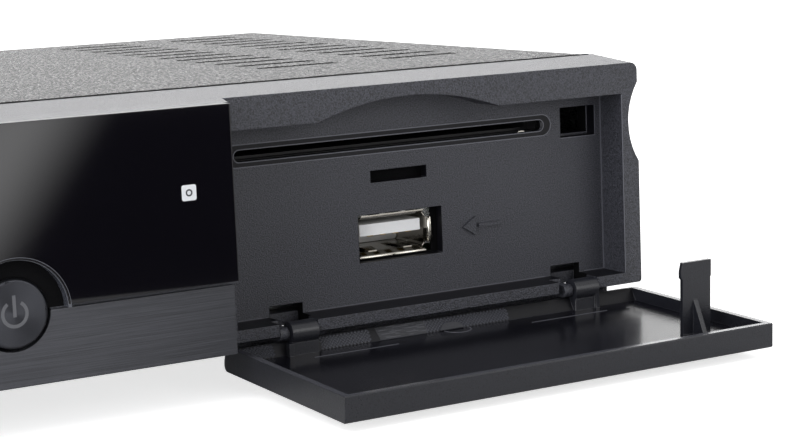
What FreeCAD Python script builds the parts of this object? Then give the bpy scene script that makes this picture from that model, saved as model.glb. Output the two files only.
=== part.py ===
import FreeCAD, Part
import math
import os

# Satellite receiver with a drop-down flap, millimetres.
# Working frame: X to the right, Y to the rear, Z up; x = 0 is the middle of the width, y = 0 the front
# plane of the compartment's frame and z = 0 the lower edge of the front bezel.  The last step moves every
# piece so that the origin is the middle of the footprint, on the surface that the feet stand on.

V = FreeCAD.Vector

# ------------------------------------------------------------------ clearances
touch = 0.05        # gap between pieces that lie against each other
slip = 0.3          # gap round a piece that moves or drops into a hole
pin_play = 0.04     # radial play of a pin in its bore
overrun = 1.0       # how far a cutter runs past the face that it opens
same_point = 1e-6   # points nearer than this are one
diagonal = math.sqrt(2)

# ------------------------------------------------------------------ body and cover
body_width = 222.0
bezel_height = 36.3
bezel_depth = 10.8
bezel_wall = 2.0
bezel_rise = 1.0
upper_corner = 1.3
lower_corner = 0.5
cover_gap = 0.5
cover_inset = 2.0
cover_rise = 1.1
cover_length = 120.7
cover_bend = 1.5
cover_skirt = 1.4
sheet = 0.8
tray_level = 0.4
tray_bend = 1.2
tray_side_height = 9.0
tray_front_height = 7.0
tray_back_height = 6.0
foot_reach = 7.4
foot_radius = 8.0
foot_taper = 1.0
foot_sides = 16
foot_inset_x = 18.0
foot_inset_y = 14.0
foot_recess_radius = 3.6
foot_recess_depth = 4.0

# ------------------------------------------------------------------ vents
slot_length = 15.0
slot_width = 2.6
slot_pitch = 7.9
slot_count = 12
slot_first = 23.2
slot_columns = (12.0, 36.0)
side_slot_height = 13.0
side_slot_count = 8
side_slot_first = 38.0
side_slot_level = 20.0
floor_slot_count = 9
floor_slot_pitch = 4.74
floor_slot_first = 40.0
floor_slot_x = 40.0
floor_slot_length = 24.0

# ------------------------------------------------------------------ raised block, window and trim
window_proud = 8.4
window_thickness = 1.9
window_sill = 10.9
window_corner = 0.9
window_lower_corner = 0.2
trim_proud = 6.8
trim_thickness = 1.2
trim_height = 10.2
block_inset = 77.8
block_slope = 2.9
block_wall = 2.0

# ------------------------------------------------------------------ power button
button_x = 0.0
button_level = 10.35
button_radius = 4.9
button_proud = 7.3
button_chamfer = 0.35
button_gap = 0.45
button_travel = 0.5
half_moon_radius = 7.5
flange_radius = 6.6
flange_thickness = 1.0
flange_sides = 16
stem_radius = 1.6
plunger_radius = 1.7
plunger_reach = 0.8
switch_size = 6.2
switch_depth = 3.4

# ------------------------------------------------------------------ front board and what it carries
front_board_y = 3.6
board_thickness = 1.6
front_board_inset = 10.0
front_board_end_gap = 6.2
front_board_margin = 3.9
post_radius = 2.3
post_inset = 4.0
screw_radius = 1.0
screw_head_flats = 3.8
screw_head_height = 1.2
front_screw_bite = 4.0
display_inset = 51.0
display_level = 22.0
display_width = 50.0
display_height = 17.0
display_rim = 4.0
receiver_offset = 18.0
receiver_level = 24.0
receiver_radius = 2.6
receiver_width = 6.0
receiver_height = 7.0
lamp_level = 15.0
lamp_radius = 1.5

# ------------------------------------------------------------------ compartment
leg_width = 3.3
recess_width = 71.0
recess_depth = 5.9
recess_floor = 1.84
recess_top = 31.35
back_plate = 1.6
sill_rib_front = 5.2
sill_rib_depth = 1.0
sill_rib_height = 2.4
arch_inset = 43.2
arch_width = 31.8
arch_rise = 2.9
scoop_level = 26.65
scoop_height = 12.9
scoop_depth = 1.95
scoop_reach = 8.0

card_inset = 42.8
card_level = 26.85
card_slot_width = 55.9
card_slot_height = 1.8
card_chamfer = 0.75
slit_inset = 42.35
slit_level = 21.55
slit_width = 10.15
slit_height = 1.9
usb_inset = 42.35
usb_level = 12.0
usb_hole_width = 15.2
usb_hole_height = 7.5

latch_inset = 8.0
latch_level = 26.9
latch_width = 6.8
latch_height = 4.9
latch_depth = 2.1
latch_step = 0.35
latch_wall = 1.2
latch_box_depth = 4.6

# ------------------------------------------------------------------ flap and hinge
hinge_y = 1.1
hinge_level = 0.1
hinge_middle_inset = 37.3
hinge_spread = 51.9
barrel_radius = 1.75
barrel_length = 4.5
barrel_foot = 1.4
pin_radius = 0.5
pin_sides = 12
pin_tip_gap = 0.1
bearing_gap = 0.15
bearing_sides = 16
lug_radius = 1.0
lug_length = 1.6
lug_root = 0.6
saddle_wall = 0.41
saddle_length = 1.3
floor_gaps = (1.9, 3.0)
notch_height = 3.5
notch_width = 5.7
notch_shift = 0.1

flap_width = 74.75
flap_top = 33.87
flap_lip = 3.1
flap_gap = 0.15
flap_thickness = 3.84
flap_rim = 1.05
flap_tray = 1.95
flap_lip_radius = 2.7
flap_edge_radius = 0.45
flap_foot_radius = 0.9
flap_slope_top = 0.3
flap_slope_foot = 0.9
flap_open_angle = 91.6
gusset_width = 0.8
gusset_reach = 1.1
tab_inset = 8.2
tab_width = 5.4
tab_thickness = 0.7
tab_reach = 3.3
tab_level = 25.4
tab_barb = 0.3
tab_barb_small = 0.1
tab_head = 2.7
tab_rib_offset = 0.3
tab_rib_reach = 5.4
tab_rib_spread = 2.7

# ------------------------------------------------------------------ USB receptacle
usb_width = 13.1
usb_height = 5.72
usb_shell_wall = 0.3
usb_depth = 14.0
usb_setback = 1.5
usb_shift = -0.55
usb_corner = 0.45
usb_lip = 0.5
usb_lip_depth = 1.2
usb_lip_margin = 0.85
tongue_width = 11.1
tongue_thickness = 1.84
tongue_drop = 0.75
tongue_setback = 0.9
usb_plug_depth = 9.5
contact_width = 1.0
contact_thickness = 0.15
contact_pitch = 2.3
contact_count = 4

# ------------------------------------------------------------------ card reader
card_width = 54.0
card_thickness = 0.76
reader_width = 60.0
reader_depth = 66.0
reader_below = 2.4
reader_above = 2.2
reader_lip_gap = 0.6
reader_board_thickness = 1.2
reader_post_flats = 4.8
reader_post_inset = 5.0
reader_window_width = 30.0
reader_window_front = 20.0
reader_window_length = 26.0
spring_rows = 2
spring_columns = 4
spring_pitch = 2.54
spring_width = 0.9
spring_length = 3.2
spring_row_gap = 7.6
spring_setback = 7.0

# ------------------------------------------------------------------ main board
board_drop = 0.55
main_margin = 13.0
main_inset = 5.0
main_front_gap = 1.6
main_back_gap = 1.4
chip_size = 24.0
chip_height = 2.0
chip_along = 46.0
chip_y = 60.0
sink_size = 34.0
sink_base = 2.0
sink_height = 11.0
fin_count = 8
fin_thickness = 1.2
memory_length = 14.0
memory_width = 9.0
memory_height = 1.2
memory_gap = 4.0
memory_count = 2
capacitor_radius = 3.2
capacitor_sides = 12
capacitor_height = 11.0
capacitor_pitch = 9.0
capacitor_count = 4
capacitor_along = 10.0
capacitor_y = 66.0
lead_width = 1.0
lead_pitch = 2.54

# ------------------------------------------------------------------ rear sockets
tuner_inset = 32.0
tuner_width = 36.0
tuner_depth = 44.0
tuner_height = 14.0
tuner_wall = 0.5
tuner_stand = 0.5
f_pitch = 17.0
f_radius = 4.76
f_root_radius = 4.45
f_bore = 3.4
f_length = 12.0
f_pin_hole = 0.6
f_recess = 0.6
nut_flats = 11.1
nut_thickness = 2.2
hdmi_gap = 6.5
hdmi_width = 15.0
hdmi_height = 5.6
hdmi_depth = 11.5
hdmi_taper = 1.6
hdmi_wall = 0.4
network_gap = 4.5
network_width = 16.0
network_height = 13.4
network_depth = 21.0
network_mouth_width = 11.8
network_mouth_height = 6.9
network_mouth_depth = 13.0
network_key_width = 6.2
network_key_height = 1.6
network_sill = 2.6
network_pin_count = 8
network_pin_pitch = 1.02
network_pin_width = 0.4
network_pin_length = 7.0
network_pin_rise = 2.4
network_pin_tip = 0.3
rca_gap = 4.4
rca_pitch = 14.0
rca_block_depth = 12.0
rca_block_margin = 5.6
rca_low = 6.6
rca_radius = 4.15
rca_inner = 3.4
rca_bore = 1.7
rca_sides = 12
rca_length = 9.5
rca_proud = 0.6
rca_recess = 0.5
serial_gap = 6.4
serial_width = 8.0
serial_height = 9.0
serial_depth = 14.0
serial_bore = 1.8
serial_nose_radius = 3.0
serial_nose = 1.6
serial_back_wall = 2.0

# ------------------------------------------------------------------ mains side
inlet_inset = 23.0
inlet_level = 20.0
inlet_width = 22.0
inlet_height = 13.0
inlet_flange = 2.4
inlet_flange_thickness = 1.8
inlet_flange_corner = 1.2
inlet_corner = 0.8
inlet_depth = 17.0
inlet_cavity = 14.0
inlet_pin_pitch = 8.6
inlet_pin_radius = 1.18
inlet_pin_length = 11.0
inlet_mouth_radius = 3.6
rocker_inset = 51.0
rocker_level = 20.0
rocker_width = 9.4
rocker_height = 17.0
rocker_frame = 1.9
rocker_frame_thickness = 2.0
rocker_frame_corner = 0.8
rocker_depth = 12.0
rocker_back_wall = 2.0
rocker_hole_margin = 0.9
rocker_thickness = 4.6
rocker_heel = 2.55
rocker_ridge = 1.3
rocker_proud = 0.2
rocker_pivot_depth = 1.6
rocker_pin_radius = 1.1
rocker_pin_length = 0.7
rocker_throw = 16.0
supply_inset = 6.0
supply_gap = 4.0
supply_front = 22.0
supply_back = 112.0
core_width = 25.0
core_depth = 20.0
core_thickness = 10.0
core_leg = 5.0
core_height = 19.0
core_stand = 2.0
core_along = 43.0
core_y = 60.0
coil_corner = 2.0
bulk_radius = 8.0
bulk_height = 25.0
bulk_along = 15.0
bulk_y = 62.0
plate_along = 15.0
plate_y = 38.0
plate_width = 22.0
plate_height = 22.0
plate_thickness = 1.6
plate_fold = 8.0
transistor_width = 10.0
transistor_height = 15.0
transistor_body = 9.0
transistor_thickness = 4.5
transistor_tab = 1.3
transistor_stand = 4.0
choke_outer = 8.0
choke_inner = 4.0
choke_thickness = 8.0
choke_along = 39.0
choke_y = 92.0
fuse_along = 13.0
fuse_y = 92.0
fuse_radius = 2.5
fuse_length = 20.0
fuse_cap = 5.0
fuse_cap_wall = 0.3
fuse_stand = 1.0
fuse_clip_width = 4.0
ribbon_width = 20.0
ribbon_thickness = 0.6
ribbon_plug_width = 24.0
ribbon_plug_depth = 4.0
ribbon_plug_height = 5.0
ribbon_socket_depth = 3.0
ribbon_socket_rise = 13.0
ribbon_rise = 5.0
ribbon_along = 20.0
supply_lead_y = 40.0
supply_lead_width = 8.0
supply_lead_thickness = 1.4
supply_lead_rise = 6.0
supply_plug_width = 10.0
supply_plug_size = 5.0
supply_plug_inset = 8.0

# ------------------------------------------------------------------ fasteners
shank_sides = 6
cover_screw_radius = 1.5
cover_screw_head_flats = 5.6
cover_screw_head_sides = 12
cover_screw_head_height = 1.6
cover_screw_length = 5.0
cover_screw_level = 5.0
panel_screw_level = 3.6
panel_screw_inset = 18.0
cover_screw_inset = 16.0
foot_screw_flats = 5.2
foot_screw_bite = 1.5
stand_flats = 5.2
stand_inset = 5.0
stand_screw_bite = 3.0

# ------------------------------------------------------------------ derived places
right = body_width / 2
cover_front = bezel_depth + cover_gap
cover_back = cover_front + cover_length
cover_side = right - cover_inset
cover_top = bezel_height + cover_rise
panel_face = cover_back
panel_inner = panel_face - sheet
tray_top = tray_level + sheet
tray_side = cover_side - sheet - touch
tray_front = cover_front + touch
table_level = -foot_reach

block_right = right - block_inset
front_board_left = -right + front_board_inset
front_board_right = block_right - front_board_end_gap
display_centre = -right + display_inset
receiver_x = button_x - receiver_offset
window_seat = -window_proud + window_thickness
trim_seat = -trim_proud + trim_thickness
block_inside = trim_seat + block_wall

recess_right = right - leg_width
recess_left = recess_right - recess_width
plate_back = recess_depth + back_plate
card_x = right - card_inset
slit_x = right - slit_inset
usb_x = right - usb_inset
latch_x = right - latch_inset
hinge_middle = right - hinge_middle_inset
flap_left = right - flap_width
flap_inner = -flap_gap
flap_outer = flap_inner - flap_thickness
flap_floor = flap_inner - flap_tray
saddle_radius = pin_radius + pin_play + saddle_wall
hinge_gap_back = hinge_y + barrel_radius + slip

usb_front = recess_depth + usb_setback
usb_centre = usb_x + usb_shift
board_top = usb_level - usb_height / 2 - board_drop
board_level = board_top - board_thickness
main_front = tray_front + sheet + main_front_gap
main_back = panel_inner - main_back_gap
tuner_x = right - tuner_inset
hdmi_x = tuner_x - (tuner_width + hdmi_width) / 2 - hdmi_gap
network_x = hdmi_x - (hdmi_width + network_width) / 2 - network_gap
rca_half = rca_pitch / 2 + rca_block_margin
rca_x = network_x - network_width / 2 - rca_gap - rca_half
serial_x = rca_x - rca_half - serial_gap - serial_width / 2
main_left = serial_x - main_margin
main_right = right - main_inset
chip_x = main_left + chip_along
capacitor_x = main_left + capacitor_along
ribbon_x = main_left + ribbon_along
supply_left = -right + supply_inset
supply_right = main_left - supply_gap
inlet_x = -right + inlet_inset
rocker_x = -right + rocker_inset
reader_front = plate_back + reader_lip_gap
reader_low = card_level - reader_below
reader_high = card_level + reader_above
reader_board_level = reader_low - reader_board_thickness
front_board_low = front_board_margin
front_board_high = bezel_height - front_board_margin
rocker_pivot_y = panel_face - rocker_pivot_depth
f_level = board_top + tuner_stand + tuner_height / 2
rca_level = board_top + rca_low
network_low = board_top + network_sill


# ------------------------------------------------------------------ solid helpers
PLACE = {
    "x": lambda u, v, w: V(w, u, v),
    "y": lambda u, v, w: V(u, w, v),
    "z": lambda u, v, w: V(u, v, w),
}


def box(x_span, y_span, z_span):
    """A block between three pairs of coordinates."""
    low = V(min(x_span), min(y_span), min(z_span))
    high = V(max(x_span), max(y_span), max(z_span))
    return Part.makeBox(high.x - low.x, high.y - low.y, high.z - low.z, low)


def rod(axis, centre, radius, span):
    """A cylinder along an axis; centre holds its two other coordinates."""
    start = PLACE[axis](centre[0], centre[1], min(span))
    along = PLACE[axis](0, 0, 1)
    return Part.makeCylinder(radius, max(span) - min(span), start, along)


def rounded_wire(axis, points, radii, level):
    """A closed outline whose corners are tangent arcs of the given radii."""
    corners = []
    for i, point in enumerate(points):
        here = V(point[0], point[1], 0)
        before = V(*points[i - 1], 0) - here
        after = V(*points[(i + 1) % len(points)], 0) - here
        before.normalize()
        after.normalize()
        if radii[i] <= 0:
            corners.append((here, None, here))
            continue
        half = before.getAngle(after) / 2
        setback = radii[i] / math.tan(half)
        inward = (before + after).normalize()
        middle = here + inward * (radii[i] / math.sin(half) - radii[i])
        corners.append((here + before * setback, middle, here + after * setback))
    edges = []
    for i, (start, middle, end) in enumerate(corners):
        lift = [PLACE[axis](p.x, p.y, level) for p in (start, middle or start, end)]
        if middle is not None:
            edges.append(Part.Arc(*lift).toShape())
        following = corners[(i + 1) % len(corners)][0]
        target = PLACE[axis](following.x, following.y, level)
        if (target - lift[2]).Length > same_point:
            edges.append(Part.LineSegment(lift[2], target).toShape())
    return Part.Wire(edges)


def prism(axis, points, span, radii=0):
    """An outline with rounded corners, drawn out along an axis."""
    if not isinstance(radii, (list, tuple)):
        radii = [radii] * len(points)
    face = Part.Face(rounded_wire(axis, points, radii, min(span)))
    return face.extrude(PLACE[axis](0, 0, max(span) - min(span)))


def corners_of(u_span, v_span):
    """The four corners of a rectangle, in order."""
    return [(u_span[0], v_span[0]), (u_span[1], v_span[0]), (u_span[1], v_span[1]), (u_span[0], v_span[1])]


def around(centre, size):
    """The pair of coordinates half a size either side of a centre."""
    return (centre - size / 2, centre + size / 2)


def slot_wire(axis, centre, length, width, level):
    """A slot's outline with round ends, long along the first coordinate."""
    reach = (length - width) / 2
    u, v = centre
    r = width / 2
    point = [PLACE[axis](u + a, v + b, level) for a, b in
             ((-reach, -r), (reach, -r), (reach + r, 0), (reach, r), (-reach, r), (-reach - r, 0))]
    return Part.Wire([
        Part.LineSegment(point[0], point[1]).toShape(),
        Part.Arc(point[1], point[2], point[3]).toShape(),
        Part.LineSegment(point[3], point[4]).toShape(),
        Part.Arc(point[4], point[5], point[0]).toShape(),
    ])


def slot(axis, centre, length, width, span):
    """A slot's solid, used as a cutter."""
    face = Part.Face(slot_wire(axis, centre, length, width, min(span)))
    return face.extrude(PLACE[axis](0, 0, max(span) - min(span)))


def polygon(centre, flats, sides):
    """The corners of a regular polygon, given the distance across its flats."""
    reach = flats / 2 / math.cos(math.pi / sides)
    turns = [math.tau * (k + 0.5) / sides for k in range(sides)]
    return [(centre[0] + reach * math.cos(turn), centre[1] + reach * math.sin(turn)) for turn in turns]


def faceted(axis, centre, flats, span, sides=8):
    """A regular prism along an axis, given the distance across its flats."""
    return prism(axis, polygon(centre, flats, sides), span)


def tapered(axis, centre, flats_pair, span, sides):
    """A regular prism whose distance across the flats changes along it."""
    wires = [rounded_wire(axis, polygon(centre, flats, sides), [0] * sides, level)
             for flats, level in zip(flats_pair, span)]
    return Part.makeLoft(wires, True, True)


def chamfered(axis, u_span, v_span, corner, span):
    """A rectangle with its corners cut off, drawn out along an axis."""
    (a, b), (c, d) = u_span, v_span
    points = [(a, c + corner), (a + corner, c), (b - corner, c), (b, c + corner),
              (b, d - corner), (b - corner, d), (a + corner, d), (a, d - corner)]
    return prism(axis, points, span)


def vent(axis, centre, length, width, span):
    """A vent slot's cutter, with half an octagon at either end."""
    corner = width / (diagonal * (1 + diagonal))
    return chamfered(axis, around(centre[0], length), around(centre[1], width), corner, span)


def joined(*shapes):
    """One solid from overlapping or touching ones."""
    return shapes[0].fuse(list(shapes[1:])).removeSplitter()


def group(shapes):
    """Separate solids kept in one node."""
    return Part.makeCompound(list(shapes))


def revolved(axis_point, axis, profile):
    """A closed profile of points turned a full circle about an axis."""
    wire = Part.makePolygon(profile + [profile[0]])
    return Part.Face(wire).revolve(axis_point, axis, 360)


def screw(axis, centre, seat, outward, thread, length, head_flats, head_height, sides=6):
    """A screw whose head sits on seat and whose shank runs the other way."""
    shank = faceted(axis, centre, 2 * thread, (seat, seat - outward * length), shank_sides)
    cap = faceted(axis, centre, head_flats, (seat, seat + outward * head_height), sides)
    return joined(cap, shank)


def screw_hole(axis, centre, thread, span):
    """The clearance hole of a screw's shank."""
    return faceted(axis, centre, 2 * (thread + touch), span, shank_sides)


# ------------------------------------------------------------------ shared places
def front_post_places():
    """Where the front board is screwed down, as (x, z)."""
    return [(x, z)
            for x in (front_board_left + post_inset, front_board_right - post_inset)
            for z in (front_board_low + post_inset, front_board_high - post_inset)]


def stand_places():
    """Where the two inner boards stand on posts, as (x, y)."""
    boards = ((main_left, main_right, main_front, main_back),
              (supply_left, supply_right, supply_front, supply_back))
    return [(x, y)
            for left, end, front, back in boards
            for x in (left + stand_inset, end - stand_inset)
            for y in (front + stand_inset, back - stand_inset)]


def reader_post_places():
    """Where the card reader's board stands on the main board, as (x, y)."""
    return [(card_x + side * (reader_width / 2 - reader_post_inset), reader_front + along)
            for side in (-1, 1)
            for along in (reader_post_inset + main_front_gap, reader_depth - reader_post_inset)]


def foot_places():
    """The four feet, as (x, y)."""
    return [(side * (cover_side - foot_inset_x), y)
            for side in (-1, 1)
            for y in (cover_front + foot_inset_y, cover_back - foot_inset_y)]


def cover_screw_places():
    """The screws in the cover's two sides, as (side, y)."""
    return [(side, y)
            for side in (-1, 1)
            for y in (cover_front + cover_screw_inset, cover_back - cover_screw_inset)]


def panel_screw_places():
    """The screws through the rear panel into the tray, as x."""
    return [panel_screw_inset - right, right - panel_screw_inset]


def f_places():
    """The two aerial connectors, as x."""
    return [tuner_x - f_pitch / 2, tuner_x + f_pitch / 2]


def rca_places():
    """The four audio and video jacks, as (x, z)."""
    return [(rca_x + side * rca_pitch / 2, rca_level + row * rca_pitch) for row in (0, 1)
            for side in (-1, 1)]


def barrel_spans():
    """The x spans of the flap's two hinge barrels."""
    return [around(hinge_middle + side * hinge_spread / 2, barrel_length) for side in (-1, 1)]


def pin_span(low, high, spare):
    """How far a barrel's stub pins reach into their bearings, with a spare length at either end."""
    depth = saddle_wall + pin_tip_gap - spare
    return (low - bearing_gap - lug_length + depth, high + bearing_gap + saddle_length - depth)


# ------------------------------------------------------------------ front bezel
def outline(span):
    """The front view of the bezel, with its corner radii."""
    points = corners_of((-right, right), (0, bezel_height))
    return prism("y", points, span, [lower_corner, lower_corner, upper_corner, upper_corner])


def bezel_frame():
    """The bezel's block behind the raised part; its top rises towards the cover."""
    radii = [lower_corner, lower_corner, upper_corner, upper_corner]
    wires = [rounded_wire("y", corners_of((-right, right), (0, height)), radii, y)
             for y, height in ((0, bezel_height), (bezel_depth, bezel_height + bezel_rise))]
    return Part.makeLoft(wires, True, True)


def sloped_block(front, low, high):
    """The raised part of the front, whose right side leans outwards to the rear."""
    lean = block_slope * (window_proud + front) / window_proud
    points = [(-right, bezel_wall), (-right, front), (block_right + lean, front),
              (block_right + block_slope, 0), (block_right + block_slope, bezel_wall)]
    return prism("z", points, (low, high))


def compartment_cuts():
    """What is taken out of the front for the compartment and the holes in its back."""
    recess = box((recess_left, recess_right), (-window_proud, recess_depth), (recess_floor, recess_top))
    arch_radius = (arch_width ** 2 / 4 + arch_rise ** 2) / (2 * arch_rise)
    arch_centre = (right - arch_inset, recess_top + arch_rise - arch_radius)
    arch = rod("y", arch_centre, arch_radius, (-window_proud, recess_depth))
    arch = arch.common(box(around(right - arch_inset, arch_width), (-window_proud, recess_depth),
                           (recess_top - arch_rise, bezel_height)))
    through = (recess_depth - touch, plate_back + touch)
    card = slot("y", (card_x, card_level), card_slot_width, card_slot_height, through)
    mouth = Part.makeLoft([
        slot_wire("y", (card_x, card_level), card_slot_width + 2 * card_chamfer,
                  card_slot_height + 2 * card_chamfer, recess_depth - touch),
        slot_wire("y", (card_x, card_level), card_slot_width, card_slot_height, recess_depth + card_chamfer),
    ], True, True)
    slit = box(around(slit_x, slit_width), through, around(slit_level, slit_height))
    usb = box(around(usb_x, usb_hole_width), through, around(usb_level, usb_hole_height))
    pocket_end = recess_depth + latch_depth
    pocket = box(around(latch_x, latch_width), (recess_depth - touch, pocket_end),
                 around(latch_level, latch_height))
    catch = box(around(latch_x, latch_width), (pocket_end, recess_depth + latch_box_depth + touch),
                (latch_level - latch_height / 2 + latch_step, latch_level + latch_height / 2))
    return [recess, arch, card, mouth, slit, usb, pocket, catch]


def hinge_cuts():
    """Gaps in the compartment's floor and back wall round the flap's hinges."""
    cuts = []
    for (low, high), reach in zip(barrel_spans(), floor_gaps):
        cuts.append(box((low - reach, high + bearing_gap), (-window_proud, hinge_gap_back),
                        (-saddle_radius, recess_floor + touch)))
        cuts.append(box(around((low + high) / 2 + notch_shift, notch_width),
                        (hinge_gap_back - touch, plate_back + touch), (-saddle_radius, notch_height)))
    return cuts


def bearings():
    """The lug to the left of each barrel and the saddle to its right, which hold the stub pins."""
    bosses = []
    for low, high in barrel_spans():
        lug = (low - bearing_gap - lug_length, low - bearing_gap)
        saddle = (high + bearing_gap, high + bearing_gap + saddle_length)
        bosses.append(faceted("x", (hinge_y, hinge_level), 2 * lug_radius, lug, bearing_sides))
        bosses.append(box(lug, (hinge_y, hinge_gap_back + lug_root), around(hinge_level, 2 * lug_radius)))
        bosses.append(faceted("x", (hinge_y, hinge_level), 2 * saddle_radius, saddle, bearing_sides))
    return bosses


def pin_bores():
    """The blind bores of the lugs and saddles."""
    return [faceted("x", (hinge_y, hinge_level), 2 * (pin_radius + pin_play),
                    pin_span(low, high, pin_tip_gap), pin_sides)
            for low, high in barrel_spans()]


def front_bezel():
    """The moulded front: frame, raised block, compartment, latch pocket, board posts and sill rib."""
    frame = bezel_frame()
    upper = sloped_block(window_seat, trim_height, bezel_height)
    lower = box((-right, block_right), (trim_seat, bezel_wall), (0, trim_height))
    block = upper.fuse(lower).common(outline((-window_proud, bezel_wall)))
    shell = joined(frame, block)
    latch_box = box((latch_x - latch_width / 2 - latch_wall, right - bezel_wall),
                    (plate_back, recess_depth + latch_box_depth),
                    (latch_level - latch_height / 2 - latch_wall, bezel_height - bezel_wall))
    inner = (-right + bezel_wall, right - bezel_wall)
    heights = (bezel_wall, bezel_height - bezel_wall)
    hollows = [
        box((inner[0], block_right - bezel_wall), (block_inside, bezel_depth), heights),
        box((block_right - bezel_wall, recess_left - bezel_wall), (bezel_wall, bezel_depth), heights),
        box((recess_left - bezel_wall, inner[1]), (plate_back, bezel_depth), heights).cut(latch_box),
    ]
    scoop_radius = (scoop_height ** 2 / 4 + scoop_depth ** 2) / (2 * scoop_depth)
    scoop = rod("y", (right - scoop_depth + scoop_radius, scoop_level), scoop_radius, (-touch, scoop_reach))
    shell = shell.cut(hollows + [scoop])
    posts = [faceted("y", place, 2 * post_radius, (block_inside, front_board_y))
             for place in front_post_places()]
    back = (window_seat - touch, block_inside + touch)
    holes = [
        rod("y", (button_x, button_level), button_radius + button_gap, back),
        faceted("y", (receiver_x, receiver_level), 2 * (receiver_radius + slip), back),
        faceted("y", (receiver_x, lamp_level), 2 * (lamp_radius + slip), back),
        box(around(display_centre, display_width - display_rim), back,
            around(display_level, display_height - display_rim)),
    ]
    holes += [faceted("y", place, 2 * screw_radius, (block_inside + bezel_wall, front_board_y + touch),
                      shank_sides) for place in front_post_places()]
    shell = joined(shell, *posts).cut(holes + compartment_cuts() + hinge_cuts())
    rib = box((recess_left, recess_right), (sill_rib_front, sill_rib_front + sill_rib_depth),
              (-sill_rib_height, touch))
    return joined(shell, rib, *bearings()).cut(pin_bores())


# ------------------------------------------------------------------ window, trim and button
def display_window():
    """The glossy window over the raised block, cut round the button."""
    lean = block_slope * window_thickness / window_proud
    plan = prism("z", [(-right, window_seat), (-right, -window_proud), (block_right, -window_proud),
                       (block_right + lean, window_seat)], (window_sill, bezel_height))
    front = corners_of((-right, block_right + lean), (window_sill, bezel_height))
    face = prism("y", front, (-window_proud, window_seat),
                 [window_lower_corner, window_lower_corner, window_corner, upper_corner])
    moon = rod("y", (button_x, button_level), half_moon_radius, (-window_proud - touch, window_seat + touch))
    return plan.common(face).cut(moon)


def lower_trim():
    """The brushed strip under the window, with half of the button's hole."""
    plate = box((-right, block_right), (-trim_proud, trim_seat), (0, trim_height))
    plate = plate.common(outline((-window_proud, 0)))
    return plate.cut(rod("y", (button_x, button_level), button_radius + button_gap, (-window_proud, 0)))


def power_button():
    """The button cap, its retaining flange behind the wall and the stem that presses the switch."""
    flange = (block_inside + slip, block_inside + slip + flange_thickness)
    tip = switch_front() - plunger_reach
    r, y = button_radius, -button_proud
    profile = [(0, y), (r - button_chamfer, y), (r, y + button_chamfer), (r, flange[1]), (0, flange[1])]
    points = [V(button_x + u, w, button_level) for u, w in profile]
    cap = revolved(V(button_x, 0, button_level), V(0, 1, 0), points)
    plate = faceted("y", (button_x, button_level), 2 * flange_radius, flange, flange_sides)
    stem = faceted("y", (button_x, button_level), 2 * stem_radius, (flange[0], tip))
    return joined(cap, plate, stem)


def switch_front():
    """The y of the front of the switch under the button."""
    return front_board_y - switch_depth


def switch_parts():
    """The switch body on the front board, and the plunger that slides in it."""
    bore = 2 * (plunger_radius + pin_play)
    deep = switch_front() + plunger_reach + button_travel + slip
    body = box(around(button_x, switch_size), (switch_front(), front_board_y),
               around(button_level, switch_size))
    body = body.cut(faceted("y", (button_x, button_level), bore, (switch_front() - touch, deep)))
    plunger = faceted("y", (button_x, button_level), 2 * plunger_radius,
                      (switch_front() - plunger_reach, switch_front() + plunger_reach))
    return body, plunger


# ------------------------------------------------------------------ flap
def flap_closed():
    """The flap as it stands when shut, in front of the compartment."""
    profile = [(flap_inner, -flap_lip), (flap_inner, flap_top), (flap_outer, flap_top),
               (flap_outer, -flap_lip)]
    skin = prism("x", profile, (flap_left, right),
                 [flap_lip_radius, flap_edge_radius / 2, flap_edge_radius, flap_foot_radius])
    tray = [(flap_inner + touch, -flap_slope_top), (flap_inner, -flap_slope_top),
            (flap_floor, flap_slope_foot),
            (flap_floor, flap_top - flap_rim), (flap_inner + touch, flap_top - flap_rim)]
    skin = skin.cut(prism("x", tray, (flap_left + flap_rim, right - flap_rim)))
    pieces = [skin]
    gusset_top = flap_slope_foot + gusset_reach
    spans = barrel_spans()
    for low, high in spans:
        pieces.append(rod("x", (hinge_y, hinge_level), barrel_radius, (low, high)))
        pieces.append(faceted("x", (hinge_y, hinge_level), 2 * pin_radius, pin_span(low, high, 0),
                              pin_sides))
        pieces.append(box((low, high), (flap_floor - touch, flap_inner - touch),
                          (-flap_slope_top - touch, hinge_level + barrel_foot)))
    pieces.append(box((spans[0][0] - gusset_width, spans[0][0]), (flap_floor - touch, flap_inner),
                      (flap_slope_foot, gusset_top)))
    rib = [(flap_floor - touch, hinge_level), (flap_floor - touch, gusset_top),
           (hinge_y - barrel_radius / 4, hinge_level + barrel_radius - 2 * touch), (hinge_y, hinge_level)]
    pieces.append(prism("x", rib, (spans[1][1] - gusset_width, spans[1][1])))
    pieces += latch_tab()
    return joined(*pieces)


def latch_tab():
    """The tab that enters the latch pocket: blade, barbed head and gusset."""
    tip = recess_depth + tab_reach
    low, high = around(tab_level, tab_thickness)
    middle = right - tab_inset
    left, end = around(middle, tab_width)
    neck = tip - tab_head
    blade = [(left, flap_floor - touch), (end, flap_floor - touch), (end, neck),
             (end + tab_barb_small, neck + tab_barb_small), (end + tab_barb_small, tip), (left, tip),
             (left - tab_barb, tip - tab_head / 2), (left - tab_barb, neck + tab_barb), (left, neck)]
    rib = [(flap_floor - touch, high - touch), (flap_floor - touch, high + tab_rib_spread),
           (flap_floor + tab_rib_reach, high + touch), (flap_floor + tab_rib_reach, high - touch)]
    return [prism("z", blade, (low, high)), prism("x", rib, around(middle - tab_rib_offset, gusset_width))]


def flap_door():
    """The flap swung down about its hinge to where it rests."""
    flap = flap_closed()
    flap.rotate(V(0, hinge_y, hinge_level), V(1, 0, 0), flap_open_angle)
    return flap


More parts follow.
